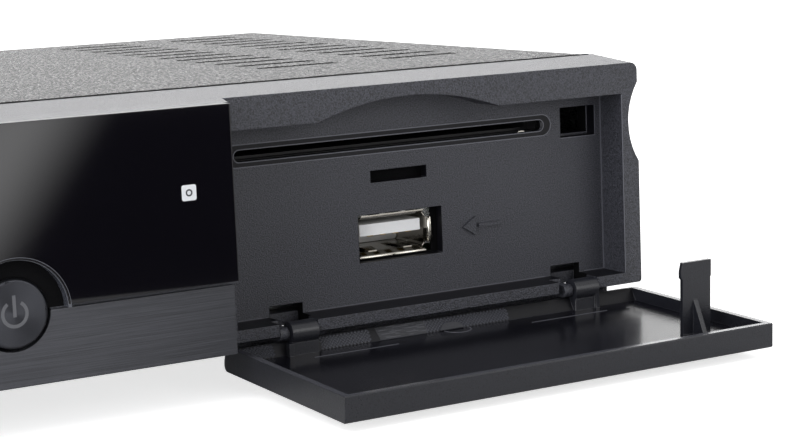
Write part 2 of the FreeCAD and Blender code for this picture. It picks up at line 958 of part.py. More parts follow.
# ------------------------------------------------------------------ USB receptacle
def usb_lips(across, upright):
    """The four tabs bent outwards round the receptacle's mouth."""
    deep, wall = usb_lip_depth, usb_shell_wall
    bend = [(0, usb_lip), (deep / 2, usb_lip / 3), (deep + touch, 0),
            (deep + touch, -wall), (deep / 2, usb_lip / 3 - wall), (0, usb_lip - wall)]
    tabs = []
    for side in (-1, 1):
        edge = upright[(side + 1) // 2]
        tabs.append(prism("x", [(usb_front + y, edge + side * rise) for y, rise in bend],
                          (across[0] + usb_lip_margin, across[1] - usb_lip_margin)))
        edge = across[(side + 1) // 2]
        tabs.append(prism("z", [(edge + side * rise, usb_front + y) for y, rise in bend],
                          (upright[0] + usb_lip_margin, upright[1] - usb_lip_margin)))
    return tabs


def usb_receptacle():
    """Drawn shell, insulating tongue with its rear block, and the four contacts under the tongue."""
    spans = (around(usb_centre, usb_width), around(usb_level, usb_height))
    back = usb_front + usb_depth
    outer = chamfered("y", *spans, usb_corner, (usb_front + usb_lip_depth, back))
    w = usb_shell_wall
    bore = [(spans[0][0] + w, spans[0][1] - w), (spans[1][0] + w, spans[1][1] - w)]
    bore_corner = usb_corner - w * diagonal * (diagonal - 1)
    tunnel = chamfered("y", *bore, bore_corner, (usb_front, back - w))
    legs = [box(around(usb_centre + side * (usb_width / 2 - w), 2 * w), (back - 3 * w, back - w),
                (board_top, spans[1][0] + w + touch)) for side in (-1, 1)]
    shell = joined(outer.cut(tunnel), *legs, *usb_lips(*spans))
    top = bore[1][1] - tongue_drop
    front = usb_front + tongue_setback
    tongue = box(around(usb_centre, tongue_width), (front, back - w - touch), (top - tongue_thickness, top))
    snug = [(low + touch, high - touch) for low, high in bore]
    heel = chamfered("y", *snug, bore_corner, (usb_front + usb_plug_depth, back - w - touch))
    first = usb_centre - contact_pitch * (contact_count - 1) / 2
    contacts = [box(around(first + k * contact_pitch, contact_width),
                    (front + w, usb_front + usb_plug_depth),
                    (top - tongue_thickness - contact_thickness, top - tongue_thickness))
                for k in range(contact_count)]
    return shell, joined(tongue, heel), group(contacts)


# ------------------------------------------------------------------ card reader
def card_reader():
    """The reader's frame with its card channel, open to the front, and the contact springs."""
    width = around(card_x, reader_width)
    frame = box(width, (reader_front, reader_front + reader_depth), (reader_low, reader_high))
    channel = box(around(card_x, card_width + slip),
                  (reader_front - touch, reader_front + reader_depth - reader_above),
                  around(card_level, card_thickness + slip))
    funnel = box(around(card_x, card_slot_width), (reader_front - touch, reader_front + reader_above),
                 around(card_level, card_slot_height))
    window_front = reader_front + reader_window_front
    window = box(around(card_x, reader_window_width), (window_front, window_front + reader_window_length),
                 (card_level, reader_high + touch))
    frame = frame.cut([channel, funnel, window])
    ceiling = card_level - (card_thickness + slip) / 2
    first = card_x - spring_pitch * (spring_columns - 1) / 2
    seats, springs = [], []
    for row in range(spring_rows):
        start = reader_front + spring_setback + row * spring_row_gap
        for column in range(spring_columns):
            x = around(first + column * spring_pitch, spring_width)
            seats.append(box(x, (start, start + spring_length), (reader_low - touch, ceiling + touch)))
            bow = [(start, reader_low), (start, ceiling - slip), (start + spring_length / 2, ceiling),
                   (start + spring_length, ceiling - slip), (start + spring_length, reader_low)]
            springs.append(prism("x", bow, x))
    return frame.cut(seats), group(springs)


def reader_stand():
    """The reader's own board and the posts that carry it over the main board."""
    board = box(around(card_x, reader_width), (reader_front, reader_front + reader_depth),
                (reader_board_level, reader_low))
    posts = [faceted("z", place, reader_post_flats, (board_top, reader_board_level), 6)
             for place in reader_post_places()]
    return board, group(posts)


# ------------------------------------------------------------------ front board
def front_boards():
    """The upright board behind the window, its display, remote receiver, lamp and screws."""
    board = box((front_board_left, front_board_right), (front_board_y, front_board_y + board_thickness),
                (front_board_low, front_board_high))
    board = board.cut([screw_hole("y", place, screw_radius,
                                  (front_board_y - touch, front_board_y + board_thickness + touch))
                       for place in front_post_places()])
    body = box(around(display_centre, display_width), (block_inside + touch, front_board_y),
               around(display_level, display_height))
    glass = box(around(display_centre, display_width - display_rim - slip),
                (window_seat + slip, block_inside + touch),
                around(display_level, display_height - display_rim - slip))
    display = joined(body, glass)
    base = box(around(receiver_x, receiver_width), (block_inside + slip, front_board_y),
               around(receiver_level, receiver_height))
    lens = faceted("y", (receiver_x, receiver_level), 2 * receiver_radius,
                   (window_seat + slip, block_inside + slip), 16)
    receiver = joined(base, lens)
    lamp = faceted("y", (receiver_x, lamp_level), 2 * lamp_radius, (window_seat + slip, front_board_y), 16)
    back = front_board_y + board_thickness
    screws = [screw("y", place, back, 1, screw_radius - touch, board_thickness + front_screw_bite,
                    screw_head_flats, screw_head_height)
              for place in front_post_places()]
    return board, display, receiver, lamp, screws


# ------------------------------------------------------------------ sheet metal
def top_cover():
    """The folded cover: top with vent slots, two sides with upright slots and screw holes."""
    span = (cover_front, cover_back)
    outer = prism("y", corners_of((-cover_side, cover_side), (cover_skirt, cover_top)), span,
                  [0, 0, cover_bend, cover_bend])
    inside = cover_side - sheet
    inner = prism("y", corners_of((-inside, inside), (cover_skirt - overrun, cover_top - sheet)),
                  (span[0] - overrun, span[1] + overrun), [0, 0, cover_bend - sheet, cover_bend - sheet])
    cuts = []
    for side in (-1, 1):
        for column in slot_columns:
            x = side * (cover_side - column - slot_length / 2 + slot_width / 2)
            cuts += [vent("z", (x, cover_front + slot_first + k * slot_pitch), slot_length, slot_width,
                          (cover_top - 2 * sheet, cover_top + sheet)) for k in range(slot_count)]
        wall = (side * (cover_side - 2 * sheet), side * (cover_side + sheet))
        cuts += [box(wall, around(cover_front + side_slot_first + k * slot_pitch, slot_width),
                     around(side_slot_level, side_slot_height)) for k in range(side_slot_count)]
    cuts += [screw_hole("x", (y, cover_screw_level), cover_screw_radius,
                        (side * (cover_side - 2 * sheet), side * (cover_side + sheet)))
             for side, y in cover_screw_places()]
    return outer.cut([inner] + cuts)


def chassis_tray():
    """The folded bottom tray with upstands on four sides, vent slots and foot and screw holes."""
    back = panel_inner
    high = tray_level + tray_side_height
    sides = prism("y", corners_of((-tray_side, tray_side), (tray_level, high)), (tray_front, back),
                  [tray_bend, tray_bend, 0, 0])
    inside = tray_side - sheet
    hollow = prism("y", corners_of((-inside, inside), (tray_top, high + overrun)),
                   (tray_front + sheet, back - sheet), [tray_bend - sheet, tray_bend - sheet, 0, 0])
    cuts = [hollow]
    for upstand, wall in ((tray_front_height, (tray_front - overrun, tray_front + sheet)),
                          (tray_back_height, (back - sheet - overrun, back + overrun))):
        cuts.append(box((-inside, inside), wall, (tray_level + upstand, high + overrun)))
    floor = (tray_level - overrun, tray_top + overrun)
    cuts += [vent("z", (floor_slot_x, cover_front + floor_slot_first + k * floor_slot_pitch),
                  floor_slot_length, slot_width, floor) for k in range(floor_slot_count)]
    cuts += [screw_hole("z", place, cover_screw_radius, floor) for place in foot_places()]
    cuts += [screw_hole("x", (y, cover_screw_level), cover_screw_radius,
                        (side * (tray_side - 2 * sheet), side * (tray_side + overrun)))
             for side, y in cover_screw_places()]
    cuts += [screw_hole("y", (x, panel_screw_level), cover_screw_radius, (back - 2 * sheet, back + overrun))
             for x in panel_screw_places()]
    return sides.cut(cuts)


def rear_panel():
    """The flat rear sheet with a hole for each socket."""
    side = cover_side - sheet - touch
    bend = cover_bend - sheet
    panel = prism("y", corners_of((-side, side), (tray_level, cover_top - sheet - touch)),
                  (panel_inner, panel_face), [bend, bend, bend, bend])
    through = (panel_inner - overrun, panel_face + overrun)
    holes = [faceted("y", (x, f_level), 2 * (f_root_radius + slip), through) for x in f_places()]
    (left, end), (low, high) = rca_block_spans()
    holes.append(box((left - slip, end + slip), through, (low - slip, high + slip)))
    holes.append(box(around(hdmi_x, hdmi_width + 2 * slip), through,
                     (board_top - slip, board_top + hdmi_height + slip)))
    holes.append(box(around(network_x, network_width + 2 * slip), through,
                     (board_top - slip, board_top + network_height + slip)))
    holes.append(faceted("y", (serial_x, board_top + serial_height / 2), 2 * (serial_nose_radius + slip),
                         through, 16))
    holes.append(chamfered("y", around(inlet_x, inlet_width + slip),
                           around(inlet_level, inlet_height + slip), inlet_corner, through))
    holes.append(box(around(rocker_x, rocker_housing_width() + slip), through,
                     around(rocker_level, rocker_housing_height() + slip)))
    holes += [screw_hole("y", (x, panel_screw_level), cover_screw_radius, through)
              for x in panel_screw_places()]
    return panel.cut(holes)


def feet():
    """Four tapered rubber feet, each with a recess for its screw."""
    solids = []
    for place in foot_places():
        body = tapered("z", place, (2 * (foot_radius - foot_taper), 2 * foot_radius),
                       (table_level, tray_level), foot_sides)
        recess = faceted("z", place, 2 * foot_recess_radius,
                         (table_level - overrun, table_level + foot_recess_depth))
        bore = screw_hole("z", place, cover_screw_radius, (table_level, tray_level + overrun))
        solids.append(body.cut([recess, bore]))
    return group(solids)


def sheet_screws():
    """The screws of the feet, and the screws of the cover and the rear panel."""
    seat = table_level + foot_recess_depth
    length = tray_top + foot_screw_bite - seat
    foot = [screw("z", place, seat, -1, cover_screw_radius, length, foot_screw_flats,
                  cover_screw_head_height)
            for place in foot_places()]
    head = (cover_screw_head_flats, cover_screw_head_height, cover_screw_head_sides)
    shell = [screw("x", (y, cover_screw_level), side * cover_side, side, cover_screw_radius,
                   cover_screw_length, *head) for side, y in cover_screw_places()]
    shell += [screw("y", (x, panel_screw_level), panel_face, 1, cover_screw_radius,
                    cover_screw_length, *head) for x in panel_screw_places()]
    return group(foot), group(shell)


def board_stands():
    """Posts under both boards, and the screws that hold the boards to them."""
    height = (tray_top, board_level)
    posts = [faceted("z", place, stand_flats, height, 6)
             .cut(faceted("z", place, 2 * screw_radius, height, shank_sides)) for place in stand_places()]
    screws = [screw("z", place, board_top, 1, screw_radius - touch, board_thickness + stand_screw_bite,
                    screw_head_flats, screw_head_height) for place in stand_places()]
    return group(posts), screws


# ------------------------------------------------------------------ main board
def drilled_board(x_span, y_span):
    """A board at board level with a hole over each of its posts."""
    board = box(x_span, y_span, (board_level, board_top))
    return board.cut([screw_hole("z", place, screw_radius, (board_level - overrun, board_top + overrun))
                      for place in stand_places()])


def heat_sink():
    """A finned aluminium block on the main chip."""
    low = board_top + chip_height
    base = box(around(chip_x, sink_size), around(chip_y, sink_size), (low, low + sink_base))
    step = (sink_size - fin_thickness) / (fin_count - 1)
    fins = [box((chip_x - sink_size / 2 + k * step, chip_x - sink_size / 2 + k * step + fin_thickness),
                around(chip_y, sink_size), (low, low + sink_height)) for k in range(fin_count)]
    return joined(base, *fins)


def main_chips():
    """The processor and the memory chips beside it."""
    chip = box(around(chip_x, chip_size), around(chip_y, chip_size), (board_top, board_top + chip_height))
    first = chip_y - (memory_count - 1) * (memory_length + memory_gap) / 2
    memory = [box(around(chip_x - sink_size / 2 - memory_gap - memory_width / 2, memory_width),
                  around(first + k * (memory_length + memory_gap), memory_length),
                  (board_top, board_top + memory_height)) for k in range(memory_count)]
    return chip, group(memory)


def board_capacitors():
    """A row of small electrolytic capacitors."""
    return group([faceted("z", (capacitor_x, capacitor_y + k * capacitor_pitch), 2 * capacitor_radius,
                          (board_top, board_top + capacitor_height), capacitor_sides)
                  for k in range(capacitor_count)])


def tuner():
    """The shielded tuner can, its two threaded aerial connectors, their insulators and nuts."""
    low = board_top + tuner_stand
    y_span = (panel_inner - touch - tuner_depth, panel_inner - touch)
    x_span = around(tuner_x, tuner_width)
    can = box(x_span, y_span, (low, low + tuner_height))
    inner = box((x_span[0] + tuner_wall, x_span[1] - tuner_wall),
                (y_span[0] + tuner_wall, y_span[1] - tuner_wall),
                (low + tuner_wall, low + tuner_height - tuner_wall))
    legs = [box(around(tuner_x + side * (tuner_width / 2 - 2 * lead_width), lead_width), (y, y + lead_width),
                (board_top, low))
            for side in (-1, 1) for y in (y_span[0] + lead_width, y_span[1] - 3 * lead_width)]
    can = joined(can.cut(inner), *legs)
    end = panel_face + f_length
    start = y_span[1]
    barrels, plugs, nuts = [], [], []
    nut_face = panel_face + nut_thickness
    for x in f_places():
        place = (x, f_level)
        barrel = joined(faceted("y", place, 2 * f_root_radius, (start, nut_face)),
                        rod("y", place, f_radius, (nut_face, end)))
        barrels.append(barrel.cut(faceted("y", place, 2 * f_bore, (panel_face, end + overrun))))
        plug = (panel_face, end - f_recess)
        plugs.append(faceted("y", place, 2 * f_bore, plug).cut(faceted("y", place, 2 * f_pin_hole, plug)))
        nut = (panel_face, nut_face)
        nuts.append(faceted("y", place, nut_flats, nut, 6).cut(faceted("y", place, 2 * f_root_radius, nut)))
    return can, group(barrels), group(plugs), group(nuts)


def hdmi_socket():
    """The HDMI shell with its tapered lower corners, and the tongue inside."""
    low, high = board_top, board_top + hdmi_height
    span = (panel_face - hdmi_depth, panel_face + touch)
    left, end = around(hdmi_x, hdmi_width)
    t, w = hdmi_taper, hdmi_wall
    outer = [(left + t, low), (end - t, low), (end, low + t), (end, high), (left, high), (left, low + t)]
    inner = [(left + t + w / 2, low + w), (end - t - w / 2, low + w), (end - w, low + t + w / 2),
             (end - w, high - w), (left + w, high - w), (left + w, low + t + w / 2)]
    shell = prism("y", outer, span).cut(prism("y", inner, (span[0] + w, span[1] + overrun)))
    middle = (low + high) / 2
    tongue = joined(box(around(hdmi_x, hdmi_width - 2 * t - 2 * w), (span[0] + w, span[1] - 2 * w),
                        around(middle, w * 2)),
                    box(around(hdmi_x, hdmi_width - 2 * t - 2 * w), (span[0] + w, span[0] + t),
                        (low + w, high - w)))
    return shell, tongue


def network_jack():
    """The network jack with its stepped mouth, and its eight spring contacts."""
    span = (panel_face + touch - network_depth, panel_face + touch)
    body = box(around(network_x, network_width), span, (board_top, board_top + network_height))
    mouth_back = span[1] - network_mouth_depth
    mouth = box(around(network_x, network_mouth_width), (mouth_back, span[1] + overrun),
                (network_low, network_low + network_mouth_height))
    key_low = network_low + network_mouth_height
    key = box(around(network_x, network_key_width), (mouth_back, span[1] + overrun),
              (key_low, key_low + network_key_height))
    body = body.cut([mouth, key])
    wedge = [(mouth_back, network_low), (mouth_back + network_pin_length, network_low),
             (mouth_back + network_pin_length, network_low + network_pin_tip),
             (mouth_back, network_low + network_pin_rise)]
    first = network_x - network_pin_pitch * (network_pin_count - 1) / 2
    pins = [prism("x", wedge, around(first + k * network_pin_pitch, network_pin_width))
            for k in range(network_pin_count)]
    return body, group(pins)


def rca_block_spans():
    """The width and height of the jacks' block, as (x, z) spans."""
    return (around(rca_x, 2 * rca_half), (board_top, rca_level + rca_pitch + rca_block_margin))


def rca_jacks():
    """The block of four jacks, their plated rings and coloured inserts."""
    width, height = rca_block_spans()
    front = panel_face + rca_proud
    block = box(width, (front - rca_block_depth, front), height)
    end = panel_face + rca_length
    rings, inserts = [], []
    for place in rca_places():
        bore = faceted("y", place, 2 * rca_inner, (front, end), rca_sides)
        rings.append(rod("y", place, rca_radius, (front, end)).cut(bore))
        insert = faceted("y", place, 2 * rca_inner, (front, end - rca_recess), rca_sides)
        inserts.append(insert.cut(faceted("y", place, 2 * rca_bore, (front, end))))
    return block, group(rings), group(inserts)


def serial_jack():
    """A small round service jack."""
    level = board_top + serial_height / 2
    front = panel_inner - touch
    body = joined(box(around(serial_x, serial_width), (front - serial_depth, front),
                      (board_top, board_top + serial_height)),
                  faceted("y", (serial_x, level), 2 * serial_nose_radius,
                          (front, panel_face + serial_nose), 16))
    return body.cut(faceted("y", (serial_x, level), 2 * serial_bore,
                            (front - serial_depth + serial_back_wall, panel_face + serial_nose + overrun)))


def ribbon_cable():
    """The flat cable from the main board up to the front board, with its two plugs."""
    board_back = front_board_y + board_thickness
    low = front_board_low + ribbon_socket_rise
    high = low + ribbon_plug_height
    socket_y = main_front + ribbon_plug_depth
    plug_top = board_top + ribbon_plug_height
    on_board = box(around(ribbon_x, ribbon_plug_width), (socket_y, socket_y + ribbon_plug_depth),
                   (board_top, plug_top))
    on_front = box(around(ribbon_x, ribbon_plug_width), (board_back, board_back + ribbon_socket_depth),
                   (low, high))
    peak = high + ribbon_rise
    t = ribbon_thickness
    y1 = board_back + ribbon_socket_depth / 3
    y2 = socket_y + ribbon_plug_depth / 2
    route = [(y1, high), (y1, peak), (y2 + t, peak), (y2 + t, plug_top),
             (y2, plug_top), (y2, peak - t), (y1 + t, peak - t), (y1 + t, high)]
    strip = prism("x", route, around(ribbon_x, ribbon_width))
    return joined(on_board, on_front, strip)


def supply_lead():
    """The short lead that bridges from the supply board to the main board, with its plugs."""
    left = supply_right - supply_plug_inset
    end = main_left + supply_plug_inset
    low = board_top + supply_plug_size
    high = low + supply_lead_rise
    plugs = [box(around(x, supply_plug_size), around(supply_lead_y, supply_plug_width), (board_top, low))
             for x in (left, end)]
    t = supply_lead_thickness
    route = [(left - t / 2, low), (left - t / 2, high), (end + t / 2, high), (end + t / 2, low),
             (end - t / 2, low), (end - t / 2, high - t), (left + t / 2, high - t), (left + t / 2, low)]
    bridge = prism("y", route, around(supply_lead_y, supply_lead_width))
    return joined(*plugs, bridge)


# ------------------------------------------------------------------ mains side
def mains_inlet():
    """The two-pin inlet with its figure-of-eight cavity, and its pins."""
    front = panel_face + inlet_flange_thickness
    flange = chamfered("y", around(inlet_x, inlet_width + 2 * inlet_flange),
                       around(inlet_level, inlet_height + 2 * inlet_flange), inlet_flange_corner,
                       (panel_face, front))
    body = chamfered("y", around(inlet_x, inlet_width), around(inlet_level, inlet_height), inlet_corner,
                     (panel_face - inlet_depth, panel_face))
    back = front - inlet_cavity
    mouth = slot("y", (inlet_x, inlet_level), inlet_pin_pitch + 2 * inlet_mouth_radius,
                 2 * inlet_mouth_radius, (back, front + overrun))
    pins = [faceted("y", (x, inlet_level), 2 * inlet_pin_radius, (back, back + inlet_pin_length), 16)
            for x in around(inlet_x, inlet_pin_pitch)]
    return joined(flange, body).cut(mouth), group(pins)


def rocker_housing_width():
    """The width of the switch body that goes through the rear panel."""
    return rocker_width + 2 * slip + 2 * rocker_hole_margin


def rocker_housing_height():
    """The height of the switch body that goes through the rear panel."""
    return rocker_height + 2 * slip + 2 * rocker_hole_margin


def rocker_switch():
    """The switch housing with its frame, and the two-faced rocker tipped to one side."""
    front = panel_face + rocker_frame_thickness
    flange = chamfered("y", around(rocker_x, rocker_housing_width() + 2 * rocker_frame),
                       around(rocker_level, rocker_housing_height() + 2 * rocker_frame), rocker_frame_corner,
                       (panel_face, front))
    body = box(around(rocker_x, rocker_housing_width()), (panel_face - rocker_depth, panel_face),
               around(rocker_level, rocker_housing_height()))
    well = box(around(rocker_x, rocker_width + 2 * slip),
               (panel_face - rocker_depth + rocker_back_wall, front + overrun),
               around(rocker_level, rocker_height + 2 * slip))
    bore = rod("x", (rocker_pivot_y, rocker_level), rocker_pin_radius + pin_play,
               around(rocker_x, rocker_width + 2 * slip + 2 * rocker_pin_length))
    housing = joined(flange, body).cut([well, bore])
    half = rocker_height / 2
    heel = rocker_pivot_y - rocker_thickness / 2
    crest = front + rocker_proud
    tip = half - (crest + rocker_ridge - rocker_pivot_y) * math.sin(math.radians(rocker_throw / 2))
    profile = [(rocker_pivot_y, rocker_level - half), (crest + rocker_ridge, rocker_level - tip),
               (crest, rocker_level), (crest + rocker_ridge, rocker_level + tip),
               (rocker_pivot_y, rocker_level + half), (heel, rocker_level + rocker_heel),
               (heel, rocker_level - rocker_heel)]
    rocker = prism("x", profile, around(rocker_x, rocker_width))
    pin = rod("x", (rocker_pivot_y, rocker_level), rocker_pin_radius,
              around(rocker_x, rocker_width + 2 * slip + 2 * rocker_pin_length - 2 * touch))
    rocker = joined(rocker, pin)
    rocker.rotate(V(0, rocker_pivot_y, rocker_level), V(1, 0, 0), -rocker_throw / 2)
    return housing, rocker


def transformer():
    """The supply transformer: ferrite frame and the winding on its middle leg."""
    low = board_top + core_stand
    core_x = supply_left + core_along
    frame = box(around(core_x, core_width), around(core_y, core_thickness), (low, low + core_height))
    windows = [box((core_x + side * core_leg / 2, core_x + side * (core_width / 2 - core_leg / 2)),
                   around(core_y, core_depth), (low + core_leg / 2, low + core_height - core_leg / 2))
               for side in (-1, 1)]
    core = frame.cut(windows)
    coil_radius = core_width / 2 - core_leg / 2 - 2 * touch
    coil = chamfered("z", around(core_x, 2 * coil_radius), around(core_y, core_depth), coil_corner,
                     (low + core_leg / 2 + touch, low + core_height - core_leg / 2 - touch))
    coil = coil.cut(box(around(core_x, core_leg + 2 * touch), around(core_y, core_thickness + 2 * touch),
                        (low, low + core_height)))
    leg_x = core_width / 2 - core_leg
    feet_pins = [box(around(core_x + side * leg_x, lead_width),
                     around(core_y + end * (core_depth / 2 - lead_width), lead_width),
                     (board_top, low + core_leg / 2 + lead_width)) for side in (-1, 1) for end in (-1, 1)]
    return core, joined(coil, *feet_pins)


def supply_parts():
    """The big capacitor, the transistor on its cooling plate, the choke and the fuse."""
    capacitor = faceted("z", (supply_left + bulk_along, bulk_y), 2 * bulk_radius,
                        (board_top, board_top + bulk_height), 24)
    plate_x = supply_left + plate_along
    fold = [(plate_y, 0), (plate_y + plate_fold, 0), (plate_y + plate_fold, plate_thickness),
            (plate_y + plate_thickness, plate_thickness), (plate_y + plate_thickness, plate_height),
            (plate_y, plate_height)]
    plate = prism("x", [(y, board_top + z) for y, z in fold], around(plate_x, plate_width))
    low = board_top + transistor_stand
    leads = [box(around(plate_x + k * lead_pitch, lead_width),
                 around(plate_y - transistor_thickness / 2, lead_width), (board_top, low))
             for k in (-1, 0, 1)]
    transistor = joined(
        box(around(plate_x, transistor_width), (plate_y - transistor_thickness, plate_y),
            (low, low + transistor_body)),
        box(around(plate_x, transistor_width), (plate_y - transistor_tab, plate_y),
            (low, low + transistor_height)), *leads)
    ring = (choke_y, board_top + choke_outer)
    thickness = around(supply_left + choke_along, choke_thickness)
    choke = faceted("x", ring, 2 * choke_outer, thickness, 16)
    choke = choke.cut(faceted("x", ring, 2 * choke_inner, thickness, 16))
    fuse_x = supply_left + fuse_along
    fuse_axis = (fuse_y, board_top + fuse_radius + fuse_stand)
    pieces = [faceted("x", fuse_axis, 2 * (fuse_radius - fuse_cap_wall), around(fuse_x, fuse_length), 16)]
    for x in around(fuse_x, fuse_length - fuse_cap):
        pieces.append(faceted("x", fuse_axis, 2 * fuse_radius, around(x, fuse_cap), 16))
        pieces.append(box(around(x, fuse_clip_width), around(fuse_y, fuse_radius),
                          (board_top, fuse_axis[1])))
    return capacitor, plate, transistor, choke, joined(*pieces)


# ------------------------------------------------------------------ assembly
def assembly():
    """Every node of the receiver, by name, in the working frame."""
    nodes = {
        "front_bezel": front_bezel(),
        "display_window": display_window(),
        "lower_trim": lower_trim(),
        "power_button": power_button(),
        "flap_door": flap_door(),
        "top_cover": top_cover(),
        "chassis_tray": chassis_tray(),
        "rear_panel": rear_panel(),
        "feet": feet(),
        "main_board": drilled_board((main_left, main_right), (main_front, main_back)),
        "supply_board": drilled_board((supply_left, supply_right), (supply_front, supply_back)),
        "heat_sink": heat_sink(),
        "board_capacitors": board_capacitors(),
        "serial_jack": serial_jack(),
        "ribbon_cable": ribbon_cable(),
        "supply_lead": supply_lead(),
    }
    nodes["power_switch"], nodes["switch_plunger"] = switch_parts()
    nodes["usb_shell"], nodes["usb_tongue"], nodes["usb_contacts"] = usb_receptacle()
    nodes["card_reader"], nodes["card_contacts"] = card_reader()
    nodes["reader_board"], nodes["reader_posts"] = reader_stand()
    (nodes["front_board"], nodes["display_module"], nodes["ir_receiver"],
     nodes["standby_led"], front_screws) = front_boards()
    nodes["foot_screws"], nodes["cover_screws"] = sheet_screws()
    nodes["board_posts"], stand_screws = board_stands()
    nodes["board_screws"] = group(front_screws + stand_screws)
    nodes["main_chip"], nodes["memory_chips"] = main_chips()
    nodes["tuner_can"], nodes["f_connectors"], nodes["f_insulators"], nodes["f_nuts"] = tuner()
    nodes["hdmi_socket"], nodes["hdmi_tongue"] = hdmi_socket()
    nodes["network_jack"], nodes["network_contacts"] = network_jack()
    nodes["rca_block"], nodes["rca_rings"], nodes["rca_inserts"] = rca_jacks()
    nodes["mains_inlet"], nodes["inlet_pins"] = mains_inlet()
    nodes["rocker_switch"], nodes["rear_rocker"] = rocker_switch()
    nodes["transformer_core"], nodes["transformer_winding"] = transformer()
    (nodes["mains_capacitor"], nodes["supply_heat_sink"], nodes["power_transistor"],
     nodes["choke"], nodes["fuse"]) = supply_parts()
    return nodes


def origin_shift(nodes):
    """The move that puts the origin at the middle of the footprint on the table."""
    whole = group(nodes.values()).optimalBoundingBox(False)
    return V(-(whole.XMin + whole.XMax) / 2, -(whole.YMin + whole.YMax) / 2, -whole.ZMin)


os.makedirs("parts", exist_ok=True)
pieces = assembly()
shift = origin_shift(pieces)
for name, shape in pieces.items():
    shape.translate(shift)
    shape.exportStep(os.path.join("parts", name + ".step"))
print("nodes", len(pieces), "origin shift", [round(value, 4) for value in shift])
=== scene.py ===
import itertools
import logging
import math
from dataclasses import dataclass
from enum import Enum
from typing import Any, Callable, Iterable, Sequence

import bmesh
import bpy
from bmesh.types import BMesh, BMFace, BMVert
from bpy.types import ID, Material, Mesh, Node, NodeSocket, NodeTree, Object
from mathutils import Matrix, Vector
from mathutils.bvhtree import BVHTree


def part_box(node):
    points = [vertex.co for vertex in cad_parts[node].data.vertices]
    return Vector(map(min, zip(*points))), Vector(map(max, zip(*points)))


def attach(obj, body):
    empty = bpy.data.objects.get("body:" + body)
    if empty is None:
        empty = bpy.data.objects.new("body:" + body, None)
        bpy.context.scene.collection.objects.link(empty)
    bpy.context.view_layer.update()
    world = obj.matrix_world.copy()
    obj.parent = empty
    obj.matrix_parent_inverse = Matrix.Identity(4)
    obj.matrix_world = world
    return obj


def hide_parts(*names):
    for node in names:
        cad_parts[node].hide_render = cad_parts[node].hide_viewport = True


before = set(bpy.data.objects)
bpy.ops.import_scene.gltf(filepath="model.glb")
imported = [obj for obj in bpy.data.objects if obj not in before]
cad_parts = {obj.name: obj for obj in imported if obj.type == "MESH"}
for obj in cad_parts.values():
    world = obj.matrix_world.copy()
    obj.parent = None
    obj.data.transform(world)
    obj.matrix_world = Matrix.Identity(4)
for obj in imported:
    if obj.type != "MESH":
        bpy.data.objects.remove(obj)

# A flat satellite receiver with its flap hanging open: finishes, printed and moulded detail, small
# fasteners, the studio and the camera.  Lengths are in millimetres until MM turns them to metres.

Point = tuple[float, float, float]
Pair = tuple[float, float]
Outline = Sequence[Pair]
Box = tuple[float, float, float, float, float, float]    # low and high x, y and z

MM = 0.001
WELD = 0.002           # corners of a solid that are nearer than this are one
BEVEL_ANGLE = 30.0     # the smallest edge angle that is rounded, in degrees
CLOUD = 18.0           # size of the faint patches in every finish
ORIGIN: Point = (0.0, 0.0, 0.0)
TO_REAR: Point = (-90.0, 0.0, 0.0)    # the turn that lays +Z along +Y
LOG = logging.getLogger("receiver")
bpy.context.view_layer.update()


class Grain(Enum):
    """How a surface was made, which sets the pattern of its relief."""

    SMOOTH = "polished"
    SPARK = "spark-eroded mould"
    WRINKLE = "wrinkled powder coat"
    BRUSHED = "brushed along X"
    SPUN = "turned about the button's axis"
    ROLLED = "rolled and zinc plated"
    WOVEN = "wound wire"


class Body(Enum):
    """The moving bodies of the receiver."""

    HOUSING = "housing"
    FLAP = "flap"
    BUTTON = "button"
    ROCKER = "rocker"


def linear(colour: str) -> tuple[float, float, float, float]:
    """Turns an sRGB hex colour to linear light.

    Args:
        colour: Six hex digits after a hash.

    Returns:
        Red, green, blue and an alpha of one.
    """
    parts = [int(colour[i:i + 2], 16) / 255 for i in (1, 3, 5)]
    return (*[c / 12.92 if c <= 0.04045 else ((c + 0.055) / 1.055) ** 2.4 for c in parts], 1.0)


def add_node(tree: NodeTree, kind: str, settings: dict[Any, Any] | None = None,
             links: dict[Any, Any] | None = None) -> Node:
    """Adds a node to a tree, with its settings and its incoming links.

    Args:
        tree: The shader or geometry tree.
        kind: The node's type name.
        settings: Values by socket name or number, or by property name.
        links: Output sockets by the input's name or number.

    Returns:
        The new node.
    """
    node = tree.nodes.new(kind)
    for key, value in (settings or {}).items():
        if isinstance(key, str) and hasattr(node, key):
            setattr(node, key, value)
        else:
            node.inputs[key].default_value = value
    for key, socket in (links or {}).items():
        tree.links.new(socket, node.inputs[key])
    return node


def maths(tree: NodeTree, operation: str, *operands: Any) -> NodeSocket:
    """Combines values, each a number or a socket.

    Args:
        tree: The tree to add to.
        operation: A Math node's operation.
        operands: What it works on.

    Returns:
        The result's socket.
    """
    values = {k: v for k, v in enumerate(operands) if isinstance(v, (int, float))}
    sockets = {k: v for k, v in enumerate(operands) if k not in values}
    return add_node(tree, "ShaderNodeMath", {"operation": operation, **values}, sockets).outputs[0]


def noise(tree: NodeTree, place: NodeSocket, scale: float, detail: float, roughness: float = 0.5) -> NodeSocket:
    """Adds a noise.

    Args:
        tree: The tree to add to.
        place: Where it is read.
        scale: How fine it is.
        detail: Its octaves.
        roughness: How much the finer octaves weigh.

    Returns:
        Its value's socket.
    """
    settings = {"Scale": scale, "Detail": detail, "Roughness": roughness}
    return add_node(tree, "ShaderNodeTexNoise", settings, {"Vector": place}).outputs["Fac"]


